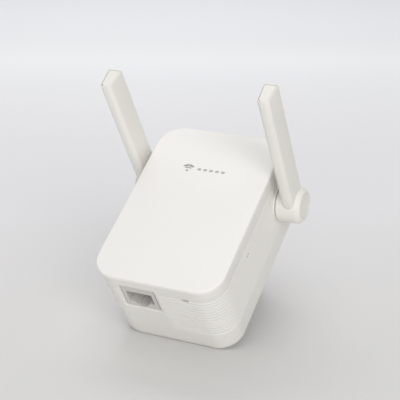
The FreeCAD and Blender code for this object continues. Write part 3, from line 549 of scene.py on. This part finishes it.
def housing_grid(rib_depth):
    """The rear shell as one closed ring of rows.

    Outside from the front rim along the ribbed wall to the back bevel, in over the back face to the
    plug's hole, through it, out over the inner face, and back along the inner wall to the rim.
    """
    front = PLATE_THICKNESS + SEAM
    rib_start = RIB_FIRST - VENT_PITCH / 2
    rib_end = RIB_FIRST + (RIB_ROWS - 0.5) * VENT_PITCH
    depths = np.concatenate([
        [front + 0.25, front + 2.0],
        np.linspace(rib_start, rib_end, RIB_ROWS * 8 + 1),
        [rib_end + 2.5, DEPTH - BACK_BEVEL - 1.5],
    ])
    rows = [outer_wall_row(depth, rib_depth) for depth in depths]

    def ring(depth, inset):
        flat, _ = wall_outline(min(depth, DEPTH), inset)
        return in_space(flat + np.array([0.0, CENTRE_Z]), FRONT + depth, "y")

    bevel = np.linspace(0.0, math.pi / 2, 7)
    rows += [ring(DEPTH - BACK_BEVEL * (1 - math.sin(a)), BACK_BEVEL * (1 - math.cos(a))) for a in bevel]
    face = rows[-1]
    flat = face[:, [0, 2]]
    hole = flat / np.linalg.norm(flat, axis=1, keepdims=True) * (PLUG_RADIUS - 1.0)
    rows += [in_space(flat + (hole - flat) * t, BACK, "y") for t in (0.35, 0.7, 0.985)]
    rows += [in_space(hole, BACK - 0.2, "y"), in_space(hole, BACK - SHELL, "y")]
    inner = ring(DEPTH - SHELL, SHELL)
    rows += [in_space(hole + (inner[:, [0, 2]] - hole) * t, BACK - SHELL, "y") for t in (0.3, 0.65)]
    rows += [ring(depth, SHELL) for depth in np.linspace(DEPTH - SHELL, front, 6)]
    rows += [ring(front, 0.25)]
    return np.stack(rows)


def hinge_seat(side):
    """The flat round seat that stands out of a side wall, with a soft rim."""
    outer = side * WIDTH / 2
    inner = side * (WIDTH / 2 - SHELL + 0.4)
    radius = KNUCKLE_RADIUS + 0.3
    profile = soften([(inner, radius), (outer, radius), (outer, radius - 2.0)], 0.15)
    return shell(turned(profile, "x", (0.0, HINGE_Y, HINGE_Z)))


def socket_cutters():
    """The chamfered recess round the network socket, and the hole for the socket inside it."""
    middle = ((JACK_LOW[0] + JACK_HIGH[0]) / 2, (JACK_LOW[1] + JACK_HIGH[1]) / 2)
    low = PLATE_LOW[2]
    recess = rounded_rectangle(RECESS_WIDTH, RECESS_THICKNESS, 1.2)
    mouth = shell(extruded(recess, [(low - 2.0, 0.2), (low + 0.55, 0.2), (low + 0.75, 0.0),
                                    (JACK_LOW[2], 0.0)], "z", middle))
    hole = rounded_rectangle(JACK_HIGH[0] - JACK_LOW[0] + 0.7, JACK_HIGH[1] - JACK_LOW[1] + 0.7, 0.15)
    throat = shell(extruded(hole, [(low - 1.5, 0.0), (low + 6.0, 0.0)], "z", middle))
    return mouth, throat


def small_cutters():
    """The reset slot, the vents, the pry slot, and the holes for the hinges, button and lights."""
    low, depth = PLATE_LOW[2], FRONT + SWITCH_DEPTH
    slot = rounded_rectangle(RESET_WIDTH, RESET_THICKNESS, 0.85)
    made = [shell(extruded(slot, [(low - 1.0, 0.3), (low + 0.55, 0.3), (low + 0.9, 0.0), (low + 6.0, 0.0)],
                           "z", (RESET_ACROSS, depth)))]
    vent = rounded_rectangle(VENT_WIDTH, VENT_SLOT, 0.34, 4, 2, 5)
    for number in range(VENT_ROWS):
        place = (0.0, FRONT + VENT_START + number * VENT_PITCH)
        made.append(shell(extruded(vent, [(PLATE_HIGH[2] - 6.0, 0.0), (PLATE_HIGH[2] + 1.0, 0.0)],
                                   "z", place)))
    pry = rounded_rectangle(1.0, 2.6, 0.45)
    made.append(shell(extruded(pry, [(WIDTH / 2 - 4.0, 0.0), (WIDTH / 2 + 1.0, 0.0)],
                               "x", (FRONT + PRY_DEPTH, CENTRE_Z + PRY_HEIGHT))))
    for side in (-1, 1):
        near, far = side * (WIDTH / 2 - 5.0), side * (WIDTH / 2 + 1.0)
        made.append(shell(extruded(circle(STUB_RADIUS + 0.05), [(near, 0.0), (far, 0.0)],
                                   "x", (HINGE_Y, HINGE_Z))))
    button = (depth, (BUTTON_LOW[2] + BUTTON_HIGH[2]) / 2)
    outside = -WIDTH / 2 - 1.0
    made.append(shell(extruded(circle(BUTTON_RADIUS + 0.3), [
        (outside, 0.35), (-WIDTH / 2 + 0.6, 0.35), (-WIDTH / 2 + 0.95, 0.0), (-WIDTH / 2 + 5.0, 0.0),
    ], "x", button)))
    for height in light_heights():
        made.append(shell(extruded(circle(LIGHT_HOLE_RADIUS, 24),
                                   [(outside, 0.0), (-WIDTH / 2 + 5.0, 0.0)], "x", (depth, height))))
    return made


def light_heights():
    """Heights of the four light pipes, evenly spaced over their CAD node."""
    return np.linspace(LIGHTS_LOW[2] + LIGHT_RADIUS, LIGHTS_HIGH[2] - LIGHT_RADIUS, 4)


def plate_grid(soft):
    """The front plate and its lip as rows from the centre of its face to the centre of its back.

    The face is flat, its rim a quarter round of the soft radius, and the lip stands behind it.
    """
    rows = []

    def ring(depth, inset):
        flat, _ = rounded_rectangle(WIDTH - 2 * inset, HEIGHT - 2 * inset,
                                    max(CORNER_RADIUS - inset, 0.3), 24, 36, 14)
        rows.append(in_space(flat + np.array([0.0, CENTRE_Z]), FRONT + depth, "y"))

    for inset in (9.0, 3.0):
        ring(0.0, inset)
    for angle in np.linspace(0.0, math.pi / 2, 7):
        ring(soft * (1 - math.cos(angle)), soft * (1 - math.sin(angle)))
    ring(PLATE_THICKNESS - 0.15, 0.0)
    ring(PLATE_THICKNESS, 0.15)
    outer, inner = SHELL + 0.4, SHELL + 1.6
    ring(PLATE_THICKNESS, outer)
    ring(PLATE_THICKNESS + LIP_LENGTH - 0.2, outer)
    ring(PLATE_THICKNESS + LIP_LENGTH, outer + 0.2)
    ring(PLATE_THICKNESS + LIP_LENGTH, inner)
    ring(PLATE_THICKNESS, inner)
    ring(PLATE_THICKNESS, 9.0)
    return np.stack(rows)


# ---------------------------------------------------------------- plug

def base_profile():
    """Half section of the plug base, from the face's centre round the cup to its hollow's floor."""
    cup = PLUG_RADIUS - 3.0
    inside = BACK - SHELL - 0.05
    return soften([
        (0.0, 0.0), (0.0, PLUG_RADIUS - 1.5), (-1.5, PLUG_RADIUS), (BACK, PLUG_RADIUS),
        (BACK, PLUG_RADIUS - 1.05), (inside, PLUG_RADIUS - 1.05), (inside, PLUG_RADIUS + 2.0),
        (inside - 1.55, PLUG_RADIUS + 2.0), (inside - 1.55, cup), (-4.0, cup), (-4.0, 0.0),
    ], 0.5)


def pin_profile():
    """Half section of a pin: solder stud, collar, root, shank and a domed tip."""
    length = PIN_HIGH[1]
    dome_length = 1.8
    dome = [(length - dome_length * (1 - math.sin(a)),
             PIN_RADIUS - 1.6 * (1 - math.cos(a)) - 0.4 * (a / 1.57) ** 3)
            for a in np.linspace(0.0, math.pi / 2, 8)]
    body = soften([
        (PIN_LOW[1], 0.0), (PIN_LOW[1], 1.2), (-5.2, 1.2), (-5.2, 3.2), (-4.0, 3.2), (-4.0, PIN_ROOT_RADIUS),
        (0.0, PIN_ROOT_RADIUS), (0.0, PIN_RADIUS), (length - dome_length, PIN_RADIUS),
    ], 0.12)
    return np.vstack([body[:-1], dome, [(length, 0.0)]])


# ---------------------------------------------------------------- hinges and antennas

def turned_over(points, side):
    """Points drawn with the antenna upright on the hinge axis, turned to rest and moved to it."""
    angle = math.radians(REST_ANGLE["left" if side < 0 else "right"])
    turn = np.array([[1.0, 0.0, 0.0],
                     [0.0, math.cos(angle), -math.sin(angle)],
                     [0.0, math.sin(angle), math.cos(angle)]])
    return points @ turn.T + np.array([0.0, HINGE_Y, HINGE_Z])


def blade_outline(inset):
    """The blade's six-sided section with soft corners, moved in: a bevelled nose and a flat back."""
    half, nose, back = BLADE_HALF_WIDTH - inset, inset - BLADE_NOSE, BLADE_BACK - inset
    right = [(half * 0.38, nose), (half * 0.83, nose + 1.3), (half, back)]
    left = [(-x, y) for x, y in reversed(right)]
    return polygon(right + left, max(BLADE_SOFT - inset, 0.2), 5)


def blade_grid(side, levels):
    """A grid whose row for each (height, inset) is the blade's section moved in by the inset."""
    centre = np.array([side * BLADE_ACROSS, 0.0])
    rows = [in_space(blade_outline(inset) + centre, height, "z") for height, inset in levels]
    return turned_over(np.stack(rows), side)


def knuckle_shell(side):
    """The hinge knuckle: stub axle, barrel, soft bevel, and a shallow seat for its disc."""
    start = side * (WIDTH / 2 + SEAM)
    end = side * KNUCKLE_OUTER
    inner = side * (WIDTH / 2 - SHELL - 2.7)
    rim = KNUCKLE_RADIUS - KNUCKLE_BEVEL * 0.8
    profile = [(inner, 1.2), (inner, STUB_RADIUS), (start, STUB_RADIUS), (start, KNUCKLE_RADIUS),
               (end - side * KNUCKLE_BEVEL, KNUCKLE_RADIUS), (end, rim), (end, DISC_RADIUS + 0.05),
               (end - side * 1.2, DISC_RADIUS + 0.05), (end - side * 1.2, 1.2), (inner, 1.2)]
    return shell(turned_over(turned(soften(profile, 0.45, 5), "x"), side), closed=True)


def knuckle_disc(side):
    """The disc in the knuckle's outer end: slightly dished, with a soft rim."""
    end = side * (KNUCKLE_OUTER - 0.1)
    seat = side * (KNUCKLE_OUTER - 1.2)
    profile = soften([(seat, 0.0), (seat, DISC_RADIUS), (end, DISC_RADIUS), (end - side * 0.12, 3.4),
                      (end - side * 0.12, 0.0)], 0.25, 5)
    return shell(turned_over(turned(profile, "x"), side))


def sleeve_shell(side):
    """The hollow blade: up the outside, over the thin rim round the cap, and down the inside."""
    top = BLADE_LENGTH
    return shell(blade_grid(side, [
        (BLADE_FOOT, 0.05), (BLADE_FOOT + 0.05, 0.0), (8.0, 0.0), (30.0, 0.0), (52.0, 0.0),
        (top - 0.2, 0.0), (top - 0.06, 0.06), (top, 0.2), (top, 0.5), (top - 1.0, 0.5),
        (top - 1.2, 1.1), (BLADE_FOOT, 1.1),
    ]), closed=True)


def cap_shell(side, gap):
    """The blade's end plug: a spigot in the sleeve and a cap that leaves a thin gap inside its rim."""
    top = BLADE_LENGTH
    foot = top - CAP_THICKNESS + 0.25
    edge = 0.5 + gap
    return shell(blade_grid(side, [
        (foot - 3.0, 1.15), (foot, 1.15), (foot, edge), (top - 0.12, edge), (top - 0.03, edge + 0.08),
        (top, edge + 0.25), (top, 1.8),
    ]))


# ---------------------------------------------------------------- small parts

def contact_shells():
    """Eight sprung wires in the socket: each runs in, bends over and slopes back to the mouth."""
    face = JACK_LOW[2]
    low = JACK_LOW[1] + 3.45
    middle = (JACK_LOW[0] + JACK_HIGH[0]) / 2
    path = soften([(low, face + 3.0), (low + 0.25, face + 3.4), (low + 2.1, face + 9.6),
                   (low + 1.2, face + 10.3)], 0.6, 6)
    way = np.gradient(path, axis=0)
    way /= np.linalg.norm(way, axis=1, keepdims=True)
    across = np.stack([-way[:, 1], way[:, 0]], axis=1)
    ring, _ = circle(0.17, 10)
    made = []
    for number in range(8):
        x = middle + (number - 3.5) * 1.02
        spot = path[:, None, :] + across[:, None, :] * ring[None, :, 1:]
        points = np.concatenate([x + np.broadcast_to(ring[None, :, :1], spot[..., :1].shape), spot], axis=-1)
        made.append(shell(points))
    return made


def badge_shells(thickness):
    """A generic printed mark: a dot under two arcs, like a signal, and a row of plain short bars."""
    height = (BADGE_LOW[2] + BADGE_HIGH[2]) / 2
    size = (BADGE_HIGH[2] - BADGE_LOW[2]) / 2
    place = (BADGE_LOW[0] + size, height - size * 0.55)
    span = [(FRONT - thickness, 0.0), (FRONT + 0.02, 0.0)]
    made = [shell(extruded(circle(size * 0.24, 24), span, "y", place))]
    for reach in (0.72, 1.25):
        angle = math.pi / 2 + np.linspace(-0.85, 0.85, 17)
        way = np.stack([np.cos(angle), np.sin(angle)], axis=1) * size
        band = np.vstack([(reach + 0.14) * way, (reach - 0.14) * way[::-1]])
        made.append(shell(extruded((band, np.zeros_like(band)), span, "y", place)))
    start, end = BADGE_LOW[0] + 2 * size + 1.4, BADGE_HIGH[0]
    count = 5
    pitch = (end - start) / count
    for number in range(count):
        bar = rounded_rectangle(pitch * 0.62, size * 0.5, size * 0.2, 2, 2, 4)
        made.append(shell(extruded(bar, span, "y", (start + (number + 0.5) * pitch, height))))
    return made


# ---------------------------------------------------------------- stage

# Painted light and shade on the floor: where the painted ramp starts and how long it is, in metres along
# TOWARD_VIEWER, and its tints, which darken the paper toward the viewer and paint a pale band of light
# behind the object.
PAINTED_SHADE_START = -1.5
PAINTED_SHADE_LENGTH = 2.0
PAINTED_LIGHT_TINTS = (
    (-0.85, (1.05, 1.07, 1.11)),
    (-0.64, (1.04, 1.06, 1.08)),
    (-0.53, (1.09, 1.11, 1.13)),
    (-0.44, (1.055, 1.06, 1.085)),
    (-0.25, (1.01, 1.01, 1.04)),
    (-0.12, (1.0, 0.995, 1.02)),
    (-0.04, (0.955, 0.945, 0.955)),
    (0.06, (0.905, 0.905, 0.895)),
)
WARM_LIGHT = (1.0, 0.985, 0.965)
COOL_LIGHT = (0.97, 0.98, 1.0)
ROOM_LIGHT = (1.0, 0.995, 0.99)
ROOM_STRENGTH = 0.40
CAMERA_RISE = math.radians(19.14)
CAMERA_DISTANCE = 0.4686
CAMERA_LENS = 97.0
LEAN = math.radians(32.14)
FLOOR_UP = Vector((0.0, -math.cos(LEAN), math.sin(LEAN)))
FLOOR_NEAR = Vector((0.0, -math.sin(LEAN), -math.cos(LEAN)))
FLOOR_RIGHT = Vector((1.0, 0.0, 0.0))
VIEW_TURN = math.radians(25.59)
TOWARD_VIEWER = FLOOR_NEAR * math.cos(VIEW_TURN) + FLOOR_RIGHT * math.sin(VIEW_TURN)


def on_floor(right, near, up):
    """A place given along the floor, toward the viewer and up, from the case's middle."""
    middle = Vector((0.0, (FRONT + BACK) / 2 * MM, CENTRE_Z * MM))
    return middle + FLOOR_RIGHT * right + FLOOR_NEAR * near + FLOOR_UP * up


def floor_object():
    """A flat floor under the lowest point of the leaning case, with a sweep up far behind it.

    The section is a straight line that turns up through a quarter circle and rises as a wall.
    """
    lowest = min(Vector(v.co) @ FLOOR_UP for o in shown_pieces() for v in o.data.vertices)
    flat = 2.2
    radius = 0.8
    rise = 1.6
    half = 3.0
    turn = np.linspace(0.0, math.pi / 2, 17)
    near = np.concatenate([[1.6], -flat - radius * np.sin(turn), [-flat - radius]])
    up = np.concatenate([[0.0], radius * (1 - np.cos(turn)), [rise]])
    vertices = []
    for x in (-half, half):
        vertices += [FLOOR_RIGHT * x + FLOOR_NEAR * float(n) + FLOOR_UP * (float(h) + lowest)
                     for n, h in zip(near, up)]
    count = len(near)
    faces = [(k, count + k, count + k + 1, k + 1) for k in range(count - 1)]
    mesh = bpy.data.meshes.new("floor")
    mesh.from_pydata([tuple(v) for v in vertices], [], faces)
    mesh.update()
    if mesh.polygons[0].normal @ FLOOR_UP < 0:
        mesh.flip_normals()
    mesh.polygons.foreach_set("use_smooth", np.ones(len(mesh.polygons), bool))
    made = bpy.data.objects.new("floor", mesh)
    bpy.context.scene.collection.objects.link(made)
    return made


def floor_material(colour):
    """Matt paper with painted light and shade: a colour ramp darkens it to a warm grey near the viewer and
    paints a pale band of light behind the object.

    Only its upper face shows, so that views from below see the object too.
    """
    finish = Finish("pale_floor_painted_light")
    along = finish.node("ShaderNodeVectorMath", {"operation": "DOT_PRODUCT"},
                        {0: finish.place, 1: TOWARD_VIEWER}).outputs["Value"]
    # The ramp below is painted light and shade, not the paper's own tint: darker toward the viewer, a pale
    # band of light behind the object.
    reach = Value(finish, along) * (1.0 / PAINTED_SHADE_LENGTH) + -PAINTED_SHADE_START / PAINTED_SHADE_LENGTH
    stops = [((near - PAINTED_SHADE_START) / PAINTED_SHADE_LENGTH, tuple(a * b for a, b in zip(colour, tint)))
             for near, tint in PAINTED_LIGHT_TINTS]
    painted_light_ramp = finish.node("ShaderNodeValToRGB", {"stops": stops}, {0: reach}).outputs[0]
    tone = finish.blend(finish.noise(3.0, 3.0) * 0.06, painted_light_ramp, colour)
    paper = finish.shader(Base_Color=tone, Roughness=0.75, Specular_IOR_Level=0.25)
    behind = finish.node("ShaderNodeNewGeometry").outputs["Backfacing"]
    nothing = finish.node("ShaderNodeBsdfTransparent").outputs[0]
    mixed = finish.node("ShaderNodeMixShader", None, {0: behind, 1: paper, 2: nothing})
    return finish.done(mixed.outputs[0])


def soft_light(name, place, target, size, power, colour=(1.0, 1.0, 1.0)):
    """A square softbox at a place, facing a target."""
    light = bpy.data.lights.new(name, "AREA")
    light.shape = "SQUARE"
    light.size = size
    light.energy = power
    light.color = colour
    made = bpy.data.objects.new(name, light)
    made.location = place
    made.rotation_mode = "QUATERNION"
    made.rotation_quaternion = (target - place).to_track_quat("-Z", "Y")
    bpy.context.scene.collection.objects.link(made)
    return made


def camera_object():
    """The camera, above the floor and turned to the right of the case's lower end."""
    away = TOWARD_VIEWER * math.cos(CAMERA_RISE) + FLOOR_UP * math.sin(CAMERA_RISE)
    aim = Vector((-2.15, FRONT + 10.5, CENTRE_Z + 11.1)) * MM
    right = FLOOR_UP.cross(away).normalized()
    up = away.cross(right)
    camera = bpy.data.objects.new("camera", bpy.data.cameras.new("camera"))
    camera.data.lens = CAMERA_LENS
    camera.data.sensor_width = 36.0
    camera.data.clip_start = 0.01
    camera.data.clip_end = 20.0
    turn = Matrix((right, up, away)).transposed().to_4x4()
    camera.matrix_world = Matrix.Translation(aim + away * CAMERA_DISTANCE) @ turn
    bpy.context.scene.collection.objects.link(camera)
    bpy.context.scene.camera = camera
    return camera


# ---------------------------------------------------------------- properties and operators

class ExtenderSizes(bpy.types.PropertyGroup):
    """Sizes of the details that the CAD model leaves out."""

    rib_depth: FloatProperty(name="Rib depth", description="How far each groove round the case sinks in",
                             default=0.00030, min=0.0, max=0.0005, unit="LENGTH")
    plate_rim: FloatProperty(name="Plate rim", description="Radius of the front plate's soft edge",
                             default=0.0007, min=0.0001, max=0.0015, unit="LENGTH")
    cap_gap: FloatProperty(name="Cap gap", description="Gap between an antenna's sleeve and its cap",
                           default=0.00022, min=0.0, max=0.0006, unit="LENGTH")
    badge_height: FloatProperty(name="Mark thickness", description="How far the printed mark stands proud",
                                default=0.00003, min=0.0, max=0.0001, unit="LENGTH")


class ExtenderColours(bpy.types.PropertyGroup):
    """Base colours of the finishes that show."""

    plate: FloatVectorProperty(name="Plate", description="Front plate", subtype="COLOR", size=3,
                               default=(0.86, 0.85, 0.83), min=0.0, max=1.0)
    case: FloatVectorProperty(name="Case", description="Rear housing", subtype="COLOR", size=3,
                              default=(0.82, 0.81, 0.78), min=0.0, max=1.0)
    antenna: FloatVectorProperty(name="Antennas", description="Blades and knuckles", subtype="COLOR", size=3,
                                 default=(0.82, 0.81, 0.77), min=0.0, max=1.0)
    badge: FloatVectorProperty(name="Mark", description="Printed mark on the plate", subtype="COLOR", size=3,
                               default=(0.45, 0.46, 0.46), min=0.0, max=1.0)
    jack: FloatVectorProperty(name="Socket", description="Moulding of the network socket", subtype="COLOR",
                              size=3, default=(0.62, 0.61, 0.59), min=0.0, max=1.0)
    floor: FloatVectorProperty(name="Floor", description="Paper under the object", subtype="COLOR", size=3,
                               default=(0.80, 0.80, 0.80), min=0.0, max=1.0)


class EXTENDER_OT_front_panel(bpy.types.Operator):
    """Build the front plate with its soft rim and its lip"""

    bl_idname = "extender.front_panel"
    bl_label = "Front panel"

    def execute(self, context):
        rim = context.scene.extender_sizes.plate_rim / MM
        panel = mesh_object("panel", shell(plate_grid(rim)), sharp=40.0)
        settle(panel, "case", material("front_white"), "front_white", "front_panel")
        return {"FINISHED"}


class EXTENDER_OT_rear_housing(bpy.types.Operator):
    """Build the ribbed rear housing and cut its openings"""

    bl_idname = "extender.rear_housing"
    bl_label = "Rear housing"

    def execute(self, context):
        depth = context.scene.extender_sizes.rib_depth / MM
        housing = mesh_object("housing", shell(housing_grid(depth), closed=True))
        combine(housing, "UNION", hinge_seat(-1), hinge_seat(1))
        mouth, throat = socket_cutters()
        combine(housing, "DIFFERENCE", mouth)
        combine(housing, "DIFFERENCE", throat)
        combine(housing, "DIFFERENCE", *small_cutters())
        settle(housing, "case", material("case_white"), "case_white", "rear_housing")
        return {"FINISHED"}


class EXTENDER_OT_mains_plug(bpy.types.Operator):
    """Build the round plug base with its notches, and the two pins"""

    bl_idname = "extender.mains_plug"
    bl_label = "Mains plug"

    def execute(self, context):
        base = mesh_object("base", shell(turned(base_profile(), "y", count=128)))
        notch = rounded_rectangle(6.4, 3.6, 0.6)
        root = circle(PIN_ROOT_RADIUS, 48)
        spacing = (PIN_LOW[0] + PIN_HIGH[0]) / 2
        tools = []
        for side in (-1, 1):
            tools.append(shell(extruded(notch, [(BACK + 3.0, 0.0), (-0.3, 0.0), (1.0, 1.3)], "y",
                                        (0.0, side * PLUG_RADIUS))))
            tools.append(shell(extruded(root, [(-6.0, 0.0), (1.0, 0.0)], "y", (side * spacing, 0.0))))
        combine(base, "DIFFERENCE", *tools)
        settle(base, "case", material("plug_white"), "plug_white", "plug_base")
        for name, side in SIDES:
            place = (side * spacing, 0.0, 0.0)
            pin = mesh_object(f"{name}_pin", shell(turned(pin_profile(), "y", place, 64)))
            settle(pin, "case", material("pin_metal"), "pin_metal", f"{name}_plug_pin")
        return {"FINISHED"}


class EXTENDER_OT_hinges(bpy.types.Operator):
    """Build the two hinge knuckles with their blade mortises, and their end discs"""

    bl_idname = "extender.hinges"
    bl_label = "Hinges"

    def execute(self, context):
        for name, side in SIDES:
            knuckle = mesh_object(f"{name}_hinge_knuckle", knuckle_shell(side))
            mortise = blade_grid(side, [(BLADE_FOOT, -0.03), (14.0, -0.03)])
            combine(knuckle, "DIFFERENCE", shell(mortise))
            settle(knuckle, f"{name}_antenna", material("antenna_white"), "antenna_white",
                   f"{name}_knuckle")
            disc = mesh_object(f"{name}_hinge_disc", knuckle_disc(side))
            settle(disc, f"{name}_antenna", material("antenna_white"), "antenna_white",
                   f"{name}_knuckle_disc")
        return {"FINISHED"}


class EXTENDER_OT_antennas(bpy.types.Operator):
    """Build the two antenna blades and their end caps"""

    bl_idname = "extender.antennas"
    bl_label = "Antennas"

    def execute(self, context):
        gap = context.scene.extender_sizes.cap_gap / MM
        for name, side in SIDES:
            blade = mesh_object(f"{name}_blade", sleeve_shell(side), sharp=60.0)
            settle(blade, f"{name}_antenna", material("antenna_white"), "antenna_white",
                   f"{name}_antenna_sleeve")
            cap = mesh_object(f"{name}_blade_cap", cap_shell(side, gap), sharp=60.0)
            settle(cap, f"{name}_antenna", material("antenna_white"), "antenna_white",
                   f"{name}_antenna_cap")
        return {"FINISHED"}


class EXTENDER_OT_small_parts(bpy.types.Operator):
    """Build the socket's contact wires, the pairing button and the printed mark"""

    bl_idname = "extender.small_parts"
    bl_label = "Small parts"

    def execute(self, context):
        contacts = mesh_object("socket_contacts", *contact_shells())
        settle(contacts, "case", material("contact_gold"), "contact_gold", "jack_contacts")
        place = ((BUTTON_LOW[1] + BUTTON_HIGH[1]) / 2, (BUTTON_LOW[2] + BUTTON_HIGH[2]) / 2)
        outer, inner = BUTTON_LOW[0], BUTTON_HIGH[0]
        radius, flange = BUTTON_RADIUS, BUTTON_RADIUS + 1.0
        profile = soften([
            (outer + 0.15, 0.0), (outer + 0.15, 1.6), (outer, 2.5), (outer, radius), (outer + 3.2, radius),
            (outer + 3.2, flange), (outer + 3.6, flange), (outer + 3.6, radius), (inner, radius),
            (inner, 0.0),
        ], 0.25)
        profile[:, 0] = np.clip(profile[:, 0], outer, inner)
        button = mesh_object("pairing_button_cap", shell(turned(profile, "x", (0.0, *place), 64)))
        settle(button, "pairing_button", material("button_white"), "button_white", "pairing_button")
        thickness = context.scene.extender_sizes.badge_height / MM
        mark = mesh_object("generic_mark", *badge_shells(thickness))
        settle(mark, "case", material("badge_grey"), "badge_grey", "front_badge")
        return {"FINISHED"}


class EXTENDER_OT_finishes(bpy.types.Operator):
    """Give every CAD node that still shows the material of its slot in the record"""

    bl_idname = "extender.finishes"
    bl_label = "Finishes"

    def execute(self, context):
        for part in frame["record"]["subparts"]:
            node = frame["nodes"][part["node"]]
            if node.hide_render:
                continue
            node.data.materials.clear()
            node.data.materials.append(material(part["material_slot"]))
        return {"FINISHED"}


class EXTENDER_OT_stage(bpy.types.Operator):
    """Lay the floor under the leaning case, and place the lights and the camera"""

    bl_idname = "extender.stage"
    bl_label = "Stage"

    def execute(self, context):
        floor = floor_object()
        floor.data.materials.append(floor_material(tuple(context.scene.extender_colours.floor)))
        middle = on_floor(0.0, 0.0, 0.0)
        behind = middle - TOWARD_VIEWER * 0.8
        lights = [
            soft_light("overhead", on_floor(0.1, 0.5, 1.3), middle, 1.2, 4.6, WARM_LIGHT),
            soft_light("right_key", on_floor(0.75, 0.75, 0.45), middle, 0.5, 4.1, WARM_LIGHT),
            soft_light("near_fill", on_floor(0.3, 1.4, 0.15), middle, 0.6, 4.0, WARM_LIGHT),
            soft_light("left_back", on_floor(-0.9, -0.3, 0.8), middle, 0.8, 1.3, WARM_LIGHT),
            soft_light("backdrop", behind + FLOOR_UP * 0.9, behind, 0.8, 4.4, COOL_LIGHT),
        ]
        world = bpy.data.worlds.new("studio")
        world.use_nodes = True
        world.node_tree.nodes["Background"].inputs["Color"].default_value = (*ROOM_LIGHT, 1.0)
        world.node_tree.nodes["Background"].inputs["Strength"].default_value = ROOM_STRENGTH
        context.scene.world = world
        context.scene.view_settings.view_transform = "Standard"
        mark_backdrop(floor, *lights, camera_object())
        return {"FINISHED"}


class EXTENDER_PT_parts(bpy.types.Panel):
    """Sidebar panel with the sizes, the colours and one button for each operator"""

    bl_label = "Range extender"
    bl_idname = "EXTENDER_PT_parts"
    bl_space_type = "VIEW_3D"
    bl_region_type = "UI"
    bl_category = "Extender"

    def draw(self, context):
        column = self.layout.column()
        for group in (context.scene.extender_sizes, context.scene.extender_colours):
            for name in group.__annotations__:
                column.prop(group, name)
        for operator in OPERATORS:
            column.operator(operator.bl_idname)


OPERATORS = (
    EXTENDER_OT_stage,
    EXTENDER_OT_front_panel,
    EXTENDER_OT_rear_housing,
    EXTENDER_OT_mains_plug,
    EXTENDER_OT_hinges,
    EXTENDER_OT_antennas,
    EXTENDER_OT_small_parts,
    EXTENDER_OT_finishes,
)
CLASSES = (ExtenderSizes, ExtenderColours, *OPERATORS, EXTENDER_PT_parts)


def register():
    for kind in CLASSES:
        bpy.utils.register_class(kind)
    bpy.types.Scene.extender_sizes = PointerProperty(type=ExtenderSizes)
    bpy.types.Scene.extender_colours = PointerProperty(type=ExtenderColours)


def unregister():
    del bpy.types.Scene.extender_colours
    del bpy.types.Scene.extender_sizes
    for kind in reversed(CLASSES):
        bpy.utils.unregister_class(kind)


def main():
    """Build every piece in order."""
    register()
    for operator in OPERATORS:
        group, name = operator.bl_idname.split(".")
        getattr(getattr(bpy.ops, group), name)()


if __name__ == "__main__":
    main()
